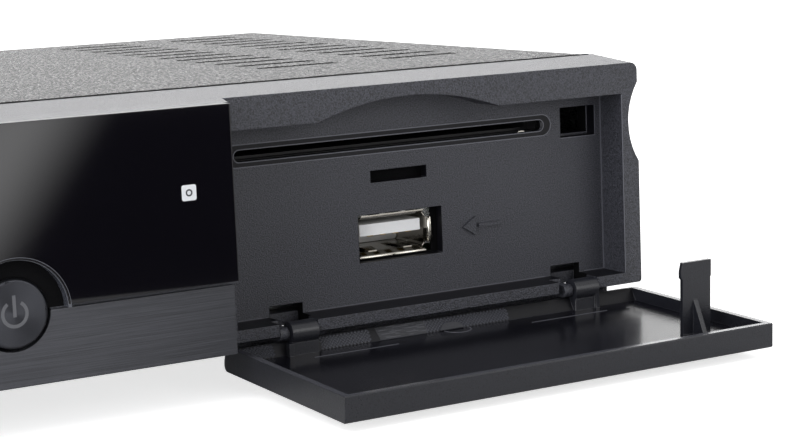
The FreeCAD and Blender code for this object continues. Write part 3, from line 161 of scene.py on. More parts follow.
def remapped(tree: NodeTree, value: NodeSocket, **settings: Any) -> NodeSocket:
    """Maps a value to another range.

    Args:
        tree: The tree to add to.
        value: The value's socket.
        settings: The Map Range node's inputs, with _ for a space, and its properties.

    Returns:
        The result's socket.
    """
    named = {key.replace("_", " ") if key[0].isupper() else key: given for key, given in settings.items()}
    return add_node(tree, "ShaderNodeMapRange", named, {"Value": value}).outputs[0]


# ---------------------------------------------------------------- finishes
@dataclass(frozen=True)
class Finish:
    """One surface finish and the recipe of its material."""

    name: str
    slot: str
    colour: str
    grain: Grain = Grain.SMOOTH
    grain_mm: float = 0.3
    relief_mm: float = 0.0
    metallic: float = 0.0
    roughness: float = 0.4
    rough_spread: float = 0.08
    tone_spread: float = 0.08
    specular: float = 0.5
    anisotropic: float = 0.0
    centre: Point = ORIGIN
    stretch: Point = (1.0, 1.0, 1.0)
    grain_share: float = 0.4

    def material(self) -> Material:
        """Builds the material, or finds it when it is there already.

        Returns:
            The material of this finish.
        """
        made = bpy.data.materials.get(self.name)
        if made:
            return made
        made = bpy.data.materials.new(self.name)
        made.use_nodes = True
        tree = made.node_tree
        shader = tree.nodes["Principled BSDF"]
        for socket, value in (("Metallic", self.metallic), ("Specular IOR Level", self.specular),
                              ("Anisotropic", self.anisotropic)):
            shader.inputs[socket].default_value = value
        place = add_node(tree, "ShaderNodeTexCoord").outputs["Object"]
        cloud = noise(tree, place, 1 / (CLOUD * MM), 3.0)
        grain = self.pattern(tree, place, shader)
        tone = maths(tree, "MULTIPLY_ADD", cloud, 1 - self.grain_share,
                     maths(tree, "MULTIPLY", grain, self.grain_share))
        base = Vector(linear(self.colour)[:3])
        low, high = base * (1 - self.tone_spread), base * (1 + self.tone_spread)
        blend = add_node(tree, "ShaderNodeMix", {"data_type": "RGBA", 6: (*low, 1), 7: (*high, 1)}, {0: tone})
        tree.links.new(blend.outputs[2], shader.inputs["Base Color"])
        rough = maths(tree, "MULTIPLY_ADD", tone, self.rough_spread, self.roughness - self.rough_spread / 2)
        tree.links.new(rough, shader.inputs["Roughness"])
        if self.relief_mm:
            bump = add_node(tree, "ShaderNodeBump", {"Strength": 1.0, "Distance": self.relief_mm * MM},
                            {"Height": grain})
            tree.links.new(bump.outputs[0], shader.inputs["Normal"])
        return made

    def pattern(self, tree: NodeTree, place: NodeSocket, shader: Node) -> NodeSocket:
        """Adds the fine pattern of the surface.

        Args:
            tree: The material's tree.
            place: Object coordinates.
            shader: The shader, whose tangent a turned face sets.

        Returns:
            A height between nought and one.
        """
        fine = 1 / (self.grain_mm * MM)
        if self.stretch != (1.0, 1.0, 1.0):
            place = add_node(tree, "ShaderNodeMapping", {"Scale": [1 / s for s in self.stretch]},
                             {"Vector": place}).outputs[0]
        if self.grain is Grain.BRUSHED:
            drawn_out = add_node(tree, "ShaderNodeMapping", {"Scale": (fine / 90, fine, fine)}, {"Vector": place})
            return noise(tree, drawn_out.outputs[0], 1.0, 4.0, 0.65)
        if self.grain is Grain.SPUN:
            offset = add_node(tree, "ShaderNodeVectorMath", {"operation": "SUBTRACT",
                              1: [c * MM for c in self.centre]}, {0: place}).outputs[0]
            tangent = add_node(tree, "ShaderNodeVectorMath", {"operation": "CROSS_PRODUCT", 1: (0, 1, 0)},
                               {0: offset}).outputs[0]
            tree.links.new(tangent, shader.inputs["Tangent"])
            axes = add_node(tree, "ShaderNodeSeparateXYZ", None, {0: offset}).outputs
            radius = maths(tree, "SQRT", maths(tree, "ADD", maths(tree, "POWER", axes[0], 2.0),
                                               maths(tree, "POWER", axes[2], 2.0)))
            rings = add_node(tree, "ShaderNodeCombineXYZ", None, {0: maths(tree, "MULTIPLY", radius, fine)})
            return noise(tree, rings.outputs[0], 1.0, 3.0)
        if self.grain is Grain.ROLLED:
            cells = add_node(tree, "ShaderNodeTexVoronoi", {"Scale": fine / 12}, {"Vector": place})
            return maths(tree, "MULTIPLY_ADD", cells.outputs["Color"], 0.6,
                         maths(tree, "MULTIPLY", noise(tree, place, fine, 2.0), 0.4))
        if self.grain is Grain.WOVEN:
            settings = {"Scale": fine / 20, "bands_direction": "Z", "Distortion": 0.6}
            return add_node(tree, "ShaderNodeTexWave", settings, {"Vector": place}).outputs["Fac"]
        if self.grain is Grain.WRINKLE:
            return remapped(tree, noise(tree, place, fine, 2.0), From_Min=0.36, From_Max=0.64,
                            interpolation_type="SMOOTHSTEP")
        speck = noise(tree, place, fine, 1.0)
        return speck if self.grain is Grain.SMOOTH else remapped(tree, speck, From_Min=0.3, From_Max=0.7)


# ABS out of a spark-eroded mould: the real grit is about 0.05 mm, and 0.2 mm is as fine as shows.
MOULDED_ABS = Finish("moulded_abs", "moulded_plastic", "#36373E", Grain.SPARK, 0.2, 0.05, roughness=0.46,
                     tone_spread=0.75, specular=0.45, grain_share=0.9)
# A smoother, lighter copy of it, whose lighter colour paints highlights on arrises and beads; the flap's floor
# marks are drawn in it too.
EDGE_ABS = Finish("edge_abs", "moulded_plastic", "#5A5B63", Grain.SPARK, 0.2, 0.01, roughness=0.38)
# The flap's ABS: satin, polished on the inside floor, lighter on the raised points of the grip band as a painted
# highlight, glossier and lighter on the rim's top with the lighter colour a painted highlight, and scraped along X
# in streaks beside the band.
SATIN_ABS = Finish("satin_abs", "flap_plastic", "#1F2026", Grain.SPARK, 0.22, 0.01, roughness=0.3,
                   tone_spread=0.3, specular=0.42, grain_share=0.7)
POLISHED_ABS = Finish("polished_abs", "flap_plastic", "#16161C", Grain.SMOOTH, 6.0, 0.004, roughness=0.17,
                      rough_spread=0.1, tone_spread=0.3, specular=0.4)
GRIP_ABS = Finish("grip_abs", "flap_plastic", "#484950", Grain.SPARK, 0.3, 0.004, roughness=0.26)
RIM_ABS = Finish("burnished_abs", "flap_plastic", "#4A4B52", Grain.SMOOTH, 3.0, 0.0, roughness=0.2, specular=0.9)
SCRAPED_ABS = Finish("scraped_abs", "flap_plastic", "#2A2B31", Grain.BRUSHED, 0.3, 0.06, roughness=0.42,
                     rough_spread=0.4, tone_spread=0.95, specular=0.35, stretch=(0.13, 1.0, 1.0),
                     grain_share=0.95)
# Black tinted acrylic, a mirror with faint unevenness, and a glossier, lighter copy on its chamfer round the
# button, the lighter colour a painted highlight.
BLACK_ACRYLIC = Finish("black_acrylic", "window_gloss", "#0C0B10", Grain.SMOOTH, 40.0, 0.0, roughness=0.07,
                       rough_spread=0.02, specular=0.42)
ACRYLIC_EDGE = Finish("acrylic_edge", "window_gloss", "#3E4048", Grain.SMOOTH, 3.0, 0.0, roughness=0.22,
                      specular=0.8)
# Dark skins that paint shade on the sill's top, in the pocket, round the card slot, on the flap's land and on the
# walls of openings; and a matt black that paints the shade behind the slit and the receptacle, in notches, in the
# card slot, behind the catch, in the crescent and in the joint.
SHADE_SATIN = Finish("black_satin_abs", "moulded_plastic", "#0D0D12", Grain.SPARK, 0.25, 0.006, roughness=0.42,
                     tone_spread=0.5, specular=0.22)
SHADE_BLACK = Finish("black_flock", "moulded_plastic", "#070709", Grain.SPARK, 0.2, 0.01, roughness=0.85,
                     specular=0.1)
# Dark brushed aluminium foil: strokes 0.12 mm apart along the strip, drawn a little coarser so that they show.
BRUSHED_DARK = Finish("brushed_dark_aluminium", "brushed_trim", "#424348", Grain.BRUSHED, 0.15, 0.03,
                      metallic=0.45, roughness=0.42, rough_spread=0.3, tone_spread=0.9, grain_share=0.85)
# Spun aluminium cap, anodised dark: turning marks 0.1 mm apart that fan the light.
SPUN_DARK = Finish("spun_dark_aluminium", "button_metal", "#3C3D42", Grain.SPUN, 0.12, 0.004, 0.85, 0.3,
                   0.1, 0.25, anisotropic=0.9, centre=(0.0, -62.99, 17.75))
# Steel sheet under wrinkled powder coat: folds some 0.3 mm across and longer from front to back.
COATED_STEEL = Finish("wrinkled_powder_coat", "cover_paint", "#29292B", Grain.WRINKLE, 0.33, 0.42,
                      roughness=0.43, rough_spread=0.6, tone_spread=0.95, stretch=(1.0, 3.0, 1.0),
                      grain_share=0.9)
# Zinc-plated sheet, faintly mottled over 3 mm.
ZINC = Finish("zinc_plated_steel", "zinc_sheet", "#B9BBBC", Grain.ROLLED, 0.25, 0.004, 1.0, 0.34, 0.14, 0.1)
RUBBER = Finish("moulded_rubber", "foot_rubber", "#1F1F20", Grain.SPARK, 0.3, 0.02, roughness=0.8,
                specular=0.3)
# Nickel plate, and a darker copy of it on the receptacle's shell and springs, painted shade for the dark inside
# that the shell mirrors.
NICKEL = Finish("bright_nickel", "nickel", "#D3CFC6", Grain.SMOOTH, 0.8, 0.01, 1.0, 0.2, 0.12, 0.08)
SHADED_NICKEL = Finish("plated_shell", "nickel", "#A6A29A", Grain.SMOOTH, 0.8, 0.012, 1.0, 0.16, 0.1, 0.12)
GOLD = Finish("gold_flash", "gold", "#9A8252", Grain.SMOOTH, 1.0, 0.002, 1.0, 0.3)
# Filled white polyester of a socket's tongue, and black filled nylon of sockets and switches.
WHITE_PBT = Finish("white_polyester", "white_plastic", "#FAFBFD", Grain.SPARK, 0.2, 0.004, roughness=0.42,
                   tone_spread=0.02)
BLACK_NYLON = Finish("black_nylon", "black_plastic", "#1B1B1D", Grain.SPARK, 0.18, 0.006, roughness=0.44,
                     specular=0.42)
SOLDER_RESIST = Finish("green_solder_resist", "board_green", "#1F5A30", Grain.SMOOTH, 1.2, 0.01,
                       roughness=0.28, tone_spread=0.3)
EPOXY = Finish("black_epoxy", "chip_black", "#1C1D1F", Grain.SPARK, 0.15, 0.004, roughness=0.6)
ANODISED = Finish("black_anodised_aluminium", "heat_sink_black", "#2B2C30", Grain.BRUSHED, 0.3, 0.006, 0.8, 0.45)
SLEEVE = Finish("shrink_sleeve", "capacitor_sleeve", "#14203A", Grain.SMOOTH, 2.0, 0.004, roughness=0.3)
BLACK_ZINC = Finish("black_zinc", "screw_steel", "#303236", Grain.SMOOTH, 0.6, 0.006, 0.85, 0.32)
COPPER = Finish("enamelled_copper", "copper", "#8E4A24", Grain.WOVEN, 0.5, 0.06, 0.8, 0.35)
FERRITE = Finish("ferrite", "ferrite", "#3A3A3D", Grain.SPARK, 0.3, 0.01, roughness=0.6)
GLASS = Finish("fuse_glass", "clear", "#C9CDCB", Grain.SMOOTH, 5.0, 0.0, roughness=0.1)
# Smoked polycarbonate in front of the display and the remote receiver, and the lamp's red lens.
SMOKED = Finish("smoked_polycarbonate", "smoke_lens", "#120A0D", Grain.SMOOTH, 8.0, 0.0, roughness=0.12)
RED_LENS = Finish("red_lens", "lamp_lens", "#6D1012", Grain.SMOOTH, 4.0, 0.0, roughness=0.15)
GREY_PVC = Finish("grey_cable", "cable_grey", "#8C8E90", Grain.BRUSHED, 0.6, 0.02, roughness=0.5)
# Pad-printed inks: matt, with an edge that stands a hair proud.
GREY_INK = Finish("grey_ink", "button_metal", "#57585D", Grain.SPARK, 0.3, 0.0, roughness=0.5)
WHITE_INK = Finish("white_ink", "window_gloss", "#DDE0E4", Grain.SPARK, 0.3, 0.0, roughness=0.5)
DARK_INK = Finish("dark_ink", "window_gloss", "#2A2C33", Grain.SPARK, 0.3, 0.0, roughness=0.5)
# Coloured inserts of the audio and video jacks.
INSERT_COLOURS = ("#C9231F", "#E8E8E4", "#E2B714", "#E0761C")

CAD_FINISHES: dict[Finish, str] = {
    ZINC: "chassis_tray tuner_can",
    SOLDER_RESIST: "main_board supply_board front_board reader_board",
    ANODISED: "heat_sink supply_heat_sink",
    SLEEVE: "board_capacitors mains_capacitor",
    BLACK_NYLON: "serial_jack power_switch card_reader hdmi_tongue network_jack rca_block mains_inlet"
                 " rocker_switch rear_rocker",
    GREY_PVC: "ribbon_cable supply_lead",
    WHITE_PBT: "switch_plunger usb_tongue reader_posts f_insulators",
    GOLD: "usb_contacts card_contacts network_contacts",
    SMOKED: "display_module ir_receiver",
    RED_LENS: "standby_led",
    BLACK_ZINC: "foot_screws board_posts board_screws",
    EPOXY: "main_chip memory_chips power_transistor",
    NICKEL: "f_nuts hdmi_socket inlet_pins",
    FERRITE: "transformer_core",
    COPPER: "transformer_winding choke",
    GLASS: "fuse",
}


# ---------------------------------------------------------------- mesh helpers
def limits(node: str) -> tuple[float, ...]:
    """A solid's lowest x, y and z and its highest x, y and z, in mm."""
    low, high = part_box(node)
    return (*[c / MM for c in low], *[c / MM for c in high])


def linked(name: str, data: ID) -> Object:
    """Adds an object to the scene.

    Args:
        name: The object's name.
        data: Its mesh, lamp or camera.

    Returns:
        The object.
    """
    made = bpy.data.objects.new(name, data)
    bpy.context.scene.collection.objects.link(made)
    return made


def new_piece(mesh: Mesh, finish: Finish, body: Body = Body.HOUSING, stands_for: str = "") -> None:
    """Makes a finished piece, named as its mesh, that rides on a body.

    Args:
        mesh: Its mesh, in place, in metres.
        finish: The finish it is given.
        body: The body that carries it.
        stands_for: The solid that it replaces, if any.
    """
    piece = linked(mesh.name, mesh)
    mesh.materials.clear()
    mesh.materials.append(finish.material())
    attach(piece, body.value)
    if stands_for:
        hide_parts(stands_for)
    LOG.info("%s: %d faces on %s", piece.name, len(mesh.polygons), body.value)


def applied(name: str, piece: Object) -> Mesh:
    """Turns an object and its modifiers to a plain mesh and removes the object.

    Args:
        name: The mesh's name.
        piece: An object without parent.

    Returns:
        The mesh.
    """
    graph = bpy.context.evaluated_depsgraph_get()
    mesh = bpy.data.meshes.new_from_object(piece.evaluated_get(graph), depsgraph=graph)
    mesh.name = name
    bpy.data.objects.remove(piece)
    return mesh


def smooth(mesh: Mesh, degrees: float = 32.0) -> Mesh:
    """Shades a mesh smooth up to an angle, and returns it."""
    mesh.polygons.foreach_set("use_smooth", [True] * len(mesh.polygons))
    mesh.set_sharp_from_angle(angle=math.radians(degrees))
    return mesh


def welded(node: str) -> BMesh:
    """A working copy of a solid whose faces share their corners."""
    shape = bmesh.new()
    shape.from_mesh(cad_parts[node].data)
    bmesh.ops.remove_doubles(shape, verts=shape.verts, dist=WELD * MM)
    return shape


def closed(shape: BMesh, name: str, outward: bool = True) -> Mesh:
    """Turns a working shape to a mesh and frees it.

    Args:
        shape: The working shape.
        name: The mesh's name.
        outward: Whether its faces are turned outwards first.

    Returns:
        The mesh.
    """
    if outward:
        bmesh.ops.recalc_face_normals(shape, faces=shape.faces)
    mesh = bpy.data.meshes.new(name)
    shape.to_mesh(mesh)
    shape.free()
    return mesh


def bridge(shape: BMesh, near: Sequence[BMVert], far: Sequence[BMVert]) -> None:
    """Joins two rings of as many corners with faces."""
    for k in range(len(near)):
        other = (k + 1) % len(near)
        shape.faces.new((near[k], near[other], far[other], far[k]))


def raised(shape: BMesh, faces: Sequence[BMFace], out: Iterable[float]) -> None:
    """Extrudes faces of a working shape by a vector in mm."""
    made = bmesh.ops.extrude_face_region(shape, geom=list(faces))
    moved = [v for v in made["geom"] if isinstance(v, BMVert)]
    bmesh.ops.translate(shape, verts=moved, vec=Vector(out) * MM)


def softened(node: str, width: float, finish: Finish, body: Body = Body.HOUSING, segments: int = 2) -> None:
    """Stands a copy with rounded edges in for a solid.

    Args:
        node: The solid's name.
        width: The rounding of its edges, in mm.
        finish: The finish it is given.
        body: The body that carries it.
        segments: How many faces make one rounding.
    """
    shape = welded(node)
    skin = BVHTree.FromBMesh(shape)
    mesh = closed(shape, node + "_rough", outward=False)
    mesh.polygons.foreach_set("use_smooth", [True] * len(mesh.polygons))
    rough = linked(node + "_rough", mesh)
    bevel = rough.modifiers.new("edges", "BEVEL")
    bevel.width = width * MM
    bevel.segments = segments
    bevel.limit_method = "ANGLE"
    bevel.angle_limit = math.radians(BEVEL_ANGLE)
    bevel.use_clamp_overlap = False
    shade = rough.modifiers.new("shade", "WEIGHTED_NORMAL")
    shade.mode = "FACE_AREA_WITH_ANGLE"
    shade.weight = 100
    done = applied(node + "_finished", rough)
    # Corners that the rounding threw off the solid go back to it, and none leaves its box.
    low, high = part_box(node)
    for corner in done.vertices:
        spot, _, _, distance = skin.find_nearest(corner.co)
        place = spot if distance > width * MM else corner.co
        corner.co = [min(max(place[k], low[k]), high[k]) for k in range(3)]
    new_piece(done, finish, body, node)


def fan(start: float, end: float, steps: int) -> list[float]:
    """Angles in radians, from one in degrees to another in equal steps."""
    return [math.radians(start + (end - start) * k / steps) for k in range(steps + 1)]


def around(centre: Pair, radius: float, angles: Iterable[float]) -> list[Pair]:
    """Points on a circle at angles in radians."""
    return [(centre[0] + radius * math.cos(a), centre[1] + radius * math.sin(a)) for a in angles]


def rect(left: float, right: float, foot: float, top: float) -> list[Pair]:
    """The outline of a rectangle."""
    return [(left, foot), (right, foot), (right, top), (left, top)]


def arc_band(centre: Pair, inner: float, outer: float, start: float, end: float, steps: int = 40) -> list[Pair]:
    """The closed outline of a ring's sector.

    Args:
        centre: Its centre in mm.
        inner: Inner radius in mm.
        outer: Outer radius in mm.
        start: First angle in degrees.
        end: Last angle in degrees.
        steps: Faces along each arc.

    Returns:
        The outline.
    """
    angles = fan(start, end, steps)
    return around(centre, inner, angles) + around(centre, outer, reversed(angles))


def stadium(centre: Pair, half: Pair, grow: float = 0.0, steps: int = 24) -> list[Pair]:
    """A closed outline with two straight sides and two round ends.

    Args:
        centre: Its centre in mm.
        half: Half its length and half its height, in mm.
        grow: How much larger than that it is all round, in mm.
        steps: Faces of each round end.

    Returns:
        The outline.
    """
    wide, high = half[0] + grow, half[1] + grow
    points = []
    for side, start in ((1, -90), (-1, 90)):
        points += around((centre[0] + side * (wide - high), centre[1]), high, fan(start, start + 180, steps))
    return points


def turned(name: str, outline: Outline, place: Point = ORIGIN, lean: float = 0.0, sides: int = 48) -> Mesh:
    """Turns an outline about an upright or leaning axis.

    Args:
        name: The mesh's name.
        outline: Pairs of radius and height in mm, from one end of the axis to the other.
        place: Where height nought is, in mm.
        lean: How far the axis leans from +Z to +X, in degrees.
        sides: Faces round the axis.

    Returns:
        A closed mesh.
    """
    shape = bmesh.new()
    rings = []
    for radius, height in outline:
        spots = around((0.0, 0.0), radius, fan(0, 360, sides)[:-1]) if radius > 0 else [(0.0, 0.0)]
        rings.append([shape.verts.new(Vector((x, y, height)) * MM) for x, y in spots])
    for lower, upper in zip(rings, rings[1:]):
        for k in range(sides):
            near, far = k, (k + 1) % sides
            corners = [lower[near % len(lower)], lower[far % len(lower)],
                       upper[far % len(upper)], upper[near % len(upper)]]
            unique = list(dict.fromkeys(corners))
            if len(unique) > 2:
                shape.faces.new(unique)
    turn = Matrix.Translation(Vector(place) * MM) @ Matrix.Rotation(math.radians(lean), 4, "Y")
    bmesh.ops.transform(shape, verts=shape.verts, matrix=turn)
    return smooth(closed(shape, name))


def slabs(name: str, outlines: Sequence[Outline], place: Callable[[float, float], Iterable[float]],
          out: Iterable[float]) -> Mesh:
    """Builds flat slabs from outlines.

    Args:
        name: The mesh's name.
        outlines: Closed outlines as pairs in mm.
        place: Gives the point in mm where a pair lies.
        out: The slabs' thickness, as a vector in mm.

    Returns:
        The mesh of all the slabs.
    """
    shape = bmesh.new()
    for outline in outlines:
        raised(shape, [shape.faces.new([shape.verts.new(Vector(place(*pair)) * MM) for pair in outline])], out)
    return closed(shape, name)


def drawn(name: str, outlines: Sequence[Outline], level: float, thickness: float) -> Mesh:
    """Draws slabs in the XZ plane out towards the front.

    Args:
        name: The mesh's name.
        outlines: Closed outlines as (x, z) in mm.
        level: The y of their back, in mm.
        thickness: How far they stand out, in mm.

    Returns:
        The mesh of all the slabs.
    """
    return slabs(name, outlines, lambda x, z: (x, level, z), (0, -thickness, 0))


def lofted(name: str, rows: Sequence[Sequence[Point]]) -> Mesh:
    """Joins rings of points, the first and last of which are filled.

    Args:
        name: The mesh's name.
        rows: Rings of as many points each, in mm.

    Returns:
        A closed mesh.
    """
    shape = bmesh.new()
    rings = [[shape.verts.new(Vector(p) * MM) for p in row] for row in rows]
    for near, far in zip(rings, rings[1:]):
        bridge(shape, near, far)
    shape.faces.new(rings[0])
    shape.faces.new(list(reversed(rings[-1])))
    return smooth(closed(shape, name))


def looped(name: str, loops: Sequence[tuple[Outline, Outline]], level: float, thickness: float) -> Mesh:
    """Builds flat rings in the XZ plane, each between two outlines of as many points.

    Args:
        name: The mesh's name.
        loops: The inner and outer outline of each ring, as (x, z) in mm.
        level: The y of their back, in mm.
        thickness: How far they stand out, in mm.

    Returns:
        The mesh of all the rings.
    """
    shape = bmesh.new()
    front = level - thickness
    for inner, outer in loops:
        rows = [[shape.verts.new(Vector((x, y, z)) * MM) for x, z in outline]
                for outline, y in ((inner, level), (outer, level), (outer, front), (inner, front))]
        for near, far in zip(rows, rows[1:] + rows[:1]):
            bridge(shape, near, far)
    return closed(shape, name)


def bars(name: str, boxes: Sequence[Box]) -> Mesh:
    """Builds the mesh of thin bars from their limits in mm."""
    shape = bmesh.new()
    for x0, x1, y0, y1, z0, z1 in boxes:
        made = bmesh.ops.create_cube(shape, size=1.0)["verts"]
        bmesh.ops.scale(shape, vec=Vector((x1 - x0, y1 - y0, z1 - z0)) * MM, verts=made)
        bmesh.ops.translate(shape, vec=Vector((x0 + x1, y0 + y1, z0 + z1)) / 2 * MM, verts=made)
    return closed(shape, name, outward=False)


def film(name: str, node: str, chosen: Callable[[Vector, Vector], bool], lift: float) -> Mesh:
    """Copies some faces of a solid as a thin skin over it.

    Args:
        name: The mesh's name.
        node: The solid's name.
        chosen: Tells from a face's centre in mm and its normal whether it is covered.
        lift: The skin's thickness in mm.

    Returns:
        The mesh of the skin.
    """
    shape, skin = welded(node), bmesh.new()
    for face in shape.faces:
        if not chosen(face.calc_center_median() / MM, face.normal):
            continue
        under = [skin.verts.new(v.co) for v in face.verts]
        over = [skin.verts.new(v.co + face.normal * lift * MM) for v in face.verts]
        skin.faces.new(over)
        skin.faces.new(list(reversed(under)))
        bridge(skin, under, over)
    shape.free()
    return closed(skin, name, outward=False)


# ---------------------------------------------------------------- repeats by geometry nodes
@dataclass(frozen=True)
class Repeat:
    """Sets copies of one shape on points, by a geometry node tree."""

    name: str
    shape: Mesh
    points: Sequence[Point]
    turns: Sequence[Point] = (ORIGIN,)    # in degrees, taken round again when they run out

    def tree(self) -> NodeTree:
        """The node tree, whose inputs are the points, the shape, its size and its finish."""
        tree = bpy.data.node_groups.new(self.name, "GeometryNodeTree")
        for name, kind in (("Geometry", "Geometry"), ("Shape", "Object"), ("Size", "Float"),
                           ("Finish", "Material")):
            tree.interface.new_socket(name, in_out="INPUT", socket_type="NodeSocket" + kind)
        tree.interface.new_socket("Geometry", in_out="OUTPUT", socket_type="NodeSocketGeometry")
        given = add_node(tree, "NodeGroupInput").outputs
        copy = add_node(tree, "GeometryNodeObjectInfo", None, {"Object": given["Shape"]})
        angle = add_node(tree, "GeometryNodeInputNamedAttribute", {"data_type": "FLOAT_VECTOR", "Name": "turn"})
        euler = add_node(tree, "FunctionNodeEulerToRotation", None, {0: angle.outputs[0]})
        put = add_node(tree, "GeometryNodeInstanceOnPoints", None,
                       {"Points": given["Geometry"], "Instance": copy.outputs["Geometry"],
                        "Rotation": euler.outputs[0], "Scale": given["Size"]})
        real = add_node(tree, "GeometryNodeRealizeInstances", None, {0: put.outputs[0]})
        dressed = add_node(tree, "GeometryNodeSetMaterial", None,
                           {"Geometry": real.outputs[0], "Material": given["Finish"]})
        add_node(tree, "NodeGroupOutput", None, {0: dressed.outputs[0]})
        return tree

    def piece(self, finish: Finish, body: Body = Body.HOUSING, stands_for: str = "",
              smooth_to: float = 0.0) -> None:
        """Builds the copies as one piece.

        Args:
            finish: The finish of every copy.
            body: The body that carries them.
            stands_for: The solid that they replace, if any.
            smooth_to: The angle up to which they are shaded smooth, or nought to leave them as they are.
        """
        anchors = bpy.data.meshes.new(self.name + "_anchors")
        anchors.from_pydata([Vector(p) * MM for p in self.points], [], [])
        turn = anchors.attributes.new("turn", "FLOAT_VECTOR", "POINT")
        for spot, value in zip(turn.data, itertools.cycle(self.turns)):
            spot.vector = [math.radians(v) for v in value]
        template = bpy.data.objects.new(self.name + "_template", self.shape)
        holder = linked(self.name, anchors)
        modifier = holder.modifiers.new("copies", "NODES")
        modifier.node_group = self.tree()
        values = {"Shape": template, "Size": 1.0, "Finish": finish.material()}
        for item in modifier.node_group.interface.items_tree:
            if item.in_out == "INPUT" and item.name in values:
                modifier[item.identifier] = values[item.name]
        mesh = applied(self.name, holder)
        bpy.data.objects.remove(template)
        new_piece(smooth(mesh, smooth_to) if smooth_to else mesh, finish, body, stands_for)


# ---------------------------------------------------------------- sub-assemblies
@dataclass
class FrontMoulding:
    """The moulded front with its window, brushed strip and moulded pointer."""

    edge: float = 0.1
    back_level: float = -49.7921
    frame_level: float = -55.6921
    shade_plate_level: float = -47.7
    skin: float = 0.015
    pointer_centre: Pair = (84.0, 19.3)
    pointer_height: float = 0.42
    mark_centre: Pair = (26.15, 31.7)
    mark_half: float = 1.12
    mark_corner: float = 0.3
    well_centre_z: float = 17.75
    well_radii: Pair = (4.9, 7.5)
    slit: tuple[float, float, float, float] = (62.6, 74.7, 27.2, 30.5)
    sill_level: float = 9.24
    arris: Pair = (9.27, 9.41)
    arris_spans: tuple[Pair, ...] = ((36.9, 43.6), (51.6, 95.6), (103.6, 107.6))
    notch_spans: tuple[Pair, ...] = ((40.0, 52.0), (94.0, 104.5))
    notch_walls: tuple[float, float, float, float] = (-52.0, -48.2, 7.0, 10.95)
    wall_x: float = 107.7
    wall_z: Pair = (9.3, 38.6)
    card_centre: Pair = (68.2, 34.25)
    card_half: Pair = (27.95, 0.9)
    card_rim: Pair = (29.4, 1.72)
    contact_centre: Pair = (92.3, 32.0)
    pocket: tuple[float, float, float, float] = (99.6, 106.4, 31.85, 36.75)
    pocket_depth: float = 2.1
    pocket_step: float = 0.35

    def build(self) -> None:
        """Rounds the moulding's edges and adds its marks, its painted shade and its painted highlights."""
        softened("front_bezel", self.edge, MOULDED_ABS)
        softened("display_window", self.edge, BLACK_ACRYLIC, segments=3)
        softened("lower_trim", self.edge, BRUSHED_DARK)
        for add in (self.pointer, self.indicator, self.well, self.light_seal, self.joint_seal, self.sill,
                    self.card_mouth, self.latch_pocket):
            add()

    def shade_skin(self, name: str, finish: Finish, boxes: Sequence[Box]) -> None:
        """Lays a thin dark skin, painted shade, on the walls that run from front to back inside some boxes.

        Args:
            name: The skin's name.
            finish: Its finish.
            boxes: Their limits in mm.
        """
        def chosen(c: Vector, n: Vector) -> bool:
            return abs(n.y) < 0.5 and any(x0 < c.x < x1 and y0 < c.y < y1 and z0 < c.z < z1
                                          for x0, x1, y0, y1, z0, z1 in boxes)
        new_piece(film(name, "front_bezel", chosen, self.skin), finish)

    def pointer(self) -> None:
        """A raised triangle and bar beside the socket, moulded in the compartment's back."""
        x, z = self.pointer_centre
        outlines = [[(x - 4.0, z), (x - 1.6, z - 1.5), (x - 1.6, z + 1.5)],
                    rect(x - 1.0, x + 3.6, z - 0.3, z + 0.3)]
        new_piece(drawn("socket_pointer", outlines, self.back_level, self.pointer_height), MOULDED_ABS)

    def indicator(self) -> None:
        """A small pale field printed on the window, with a plain ring in it."""
        front = limits("display_window")[1]
        reach = (self.mark_half - self.mark_corner) * math.sqrt(2)
        field = []
        for start in (0, 90, 180, 270):
            corner, = around(self.mark_centre, reach, [math.radians(start + 45)])
            field += around(corner, self.mark_corner, fan(start, start + 90, 5))
        new_piece(drawn("window_field", [field], front + 0.01, 0.03), WHITE_INK)
        ring = arc_band(self.mark_centre, 0.3, 0.52, 0, 359.9)
        new_piece(drawn("window_ring", [ring], front - 0.02, 0.02), DARK_INK)

    def well(self) -> None:
        """Painted shade in the crescent over the button, and the window's chamfer round it, lighter as a painted
        highlight.
        """
        left, _, _, right, _, _ = limits("power_button")
        centre, radius = ((left + right) / 2, self.well_centre_z), self.well_radii[1]
        back, front = limits("front_bezel")[1], limits("display_window")[1]
        shade_skin = arc_band(centre, *self.well_radii, 1.0, 179.0)
        # A black band over the crescent: painted shade.
        new_piece(drawn("crescent_lining", [shade_skin], back, 0.04), SHADE_BLACK)
        section = ((radius - 0.12, back), (radius - 0.1, front + 0.3), (radius + 0.28, front - 0.05),
                   (radius + 0.36, front + 0.02), (radius + 0.02, back))
        rows = [[(centre[0] + r * math.cos(a), y, centre[1] + r * math.sin(a)) for r, y in section]
                for a in fan(0.5, 179.5, 64)]
        # The chamfer ring's lighter finish is a painted highlight.
        new_piece(lofted("window_edge", rows), ACRYLIC_EDGE)

    def light_seal(self) -> None:
        """Black strips behind the slit and round the receptacle, and dark skins on the openings' walls: painted
        shade.
        """
        left, _, foot, right, _, top = limits("usb_shell")
        out, gap = 1.9, 0.06
        wrap = [(left - out, foot - 0.8), (right + out, foot - 0.8), (right + out, top + 0.9),
                (left - out, top + 0.9), (left - out, top + gap), (right + gap, top + gap),
                (right + gap, foot - gap), (left - out, foot - gap)]
        new_piece(drawn("light_seal", [wrap, rect(*self.slit)], self.shade_plate_level, 0.2), SHADE_BLACK)
        spans = ((left - out, right + out, foot - out, top + out), self.slit)
        self.shade_skin("opening_lining", SHADE_SATIN,
                    [(*span[:2], self.back_level + 0.2, math.inf, *span[2:]) for span in spans])

    def joint_seal(self) -> None:
        """A black bar in the joint between the moulding and the cover, a painted shadow line."""
        _, front, low, side, _, high = limits("top_cover")
        side, top, foot = side - 0.1, high - 0.04, low + 1.5
        inner, under = side - 1.2, top - 1.2
        loop = [(-side, foot), (-inner, foot), (-inner, under), (inner, under), (inner, foot), (side, foot),
                (side, top), (-side, top)]
        new_piece(drawn("joint_seal", [loop], front - 0.03, 0.9), SHADE_BLACK)

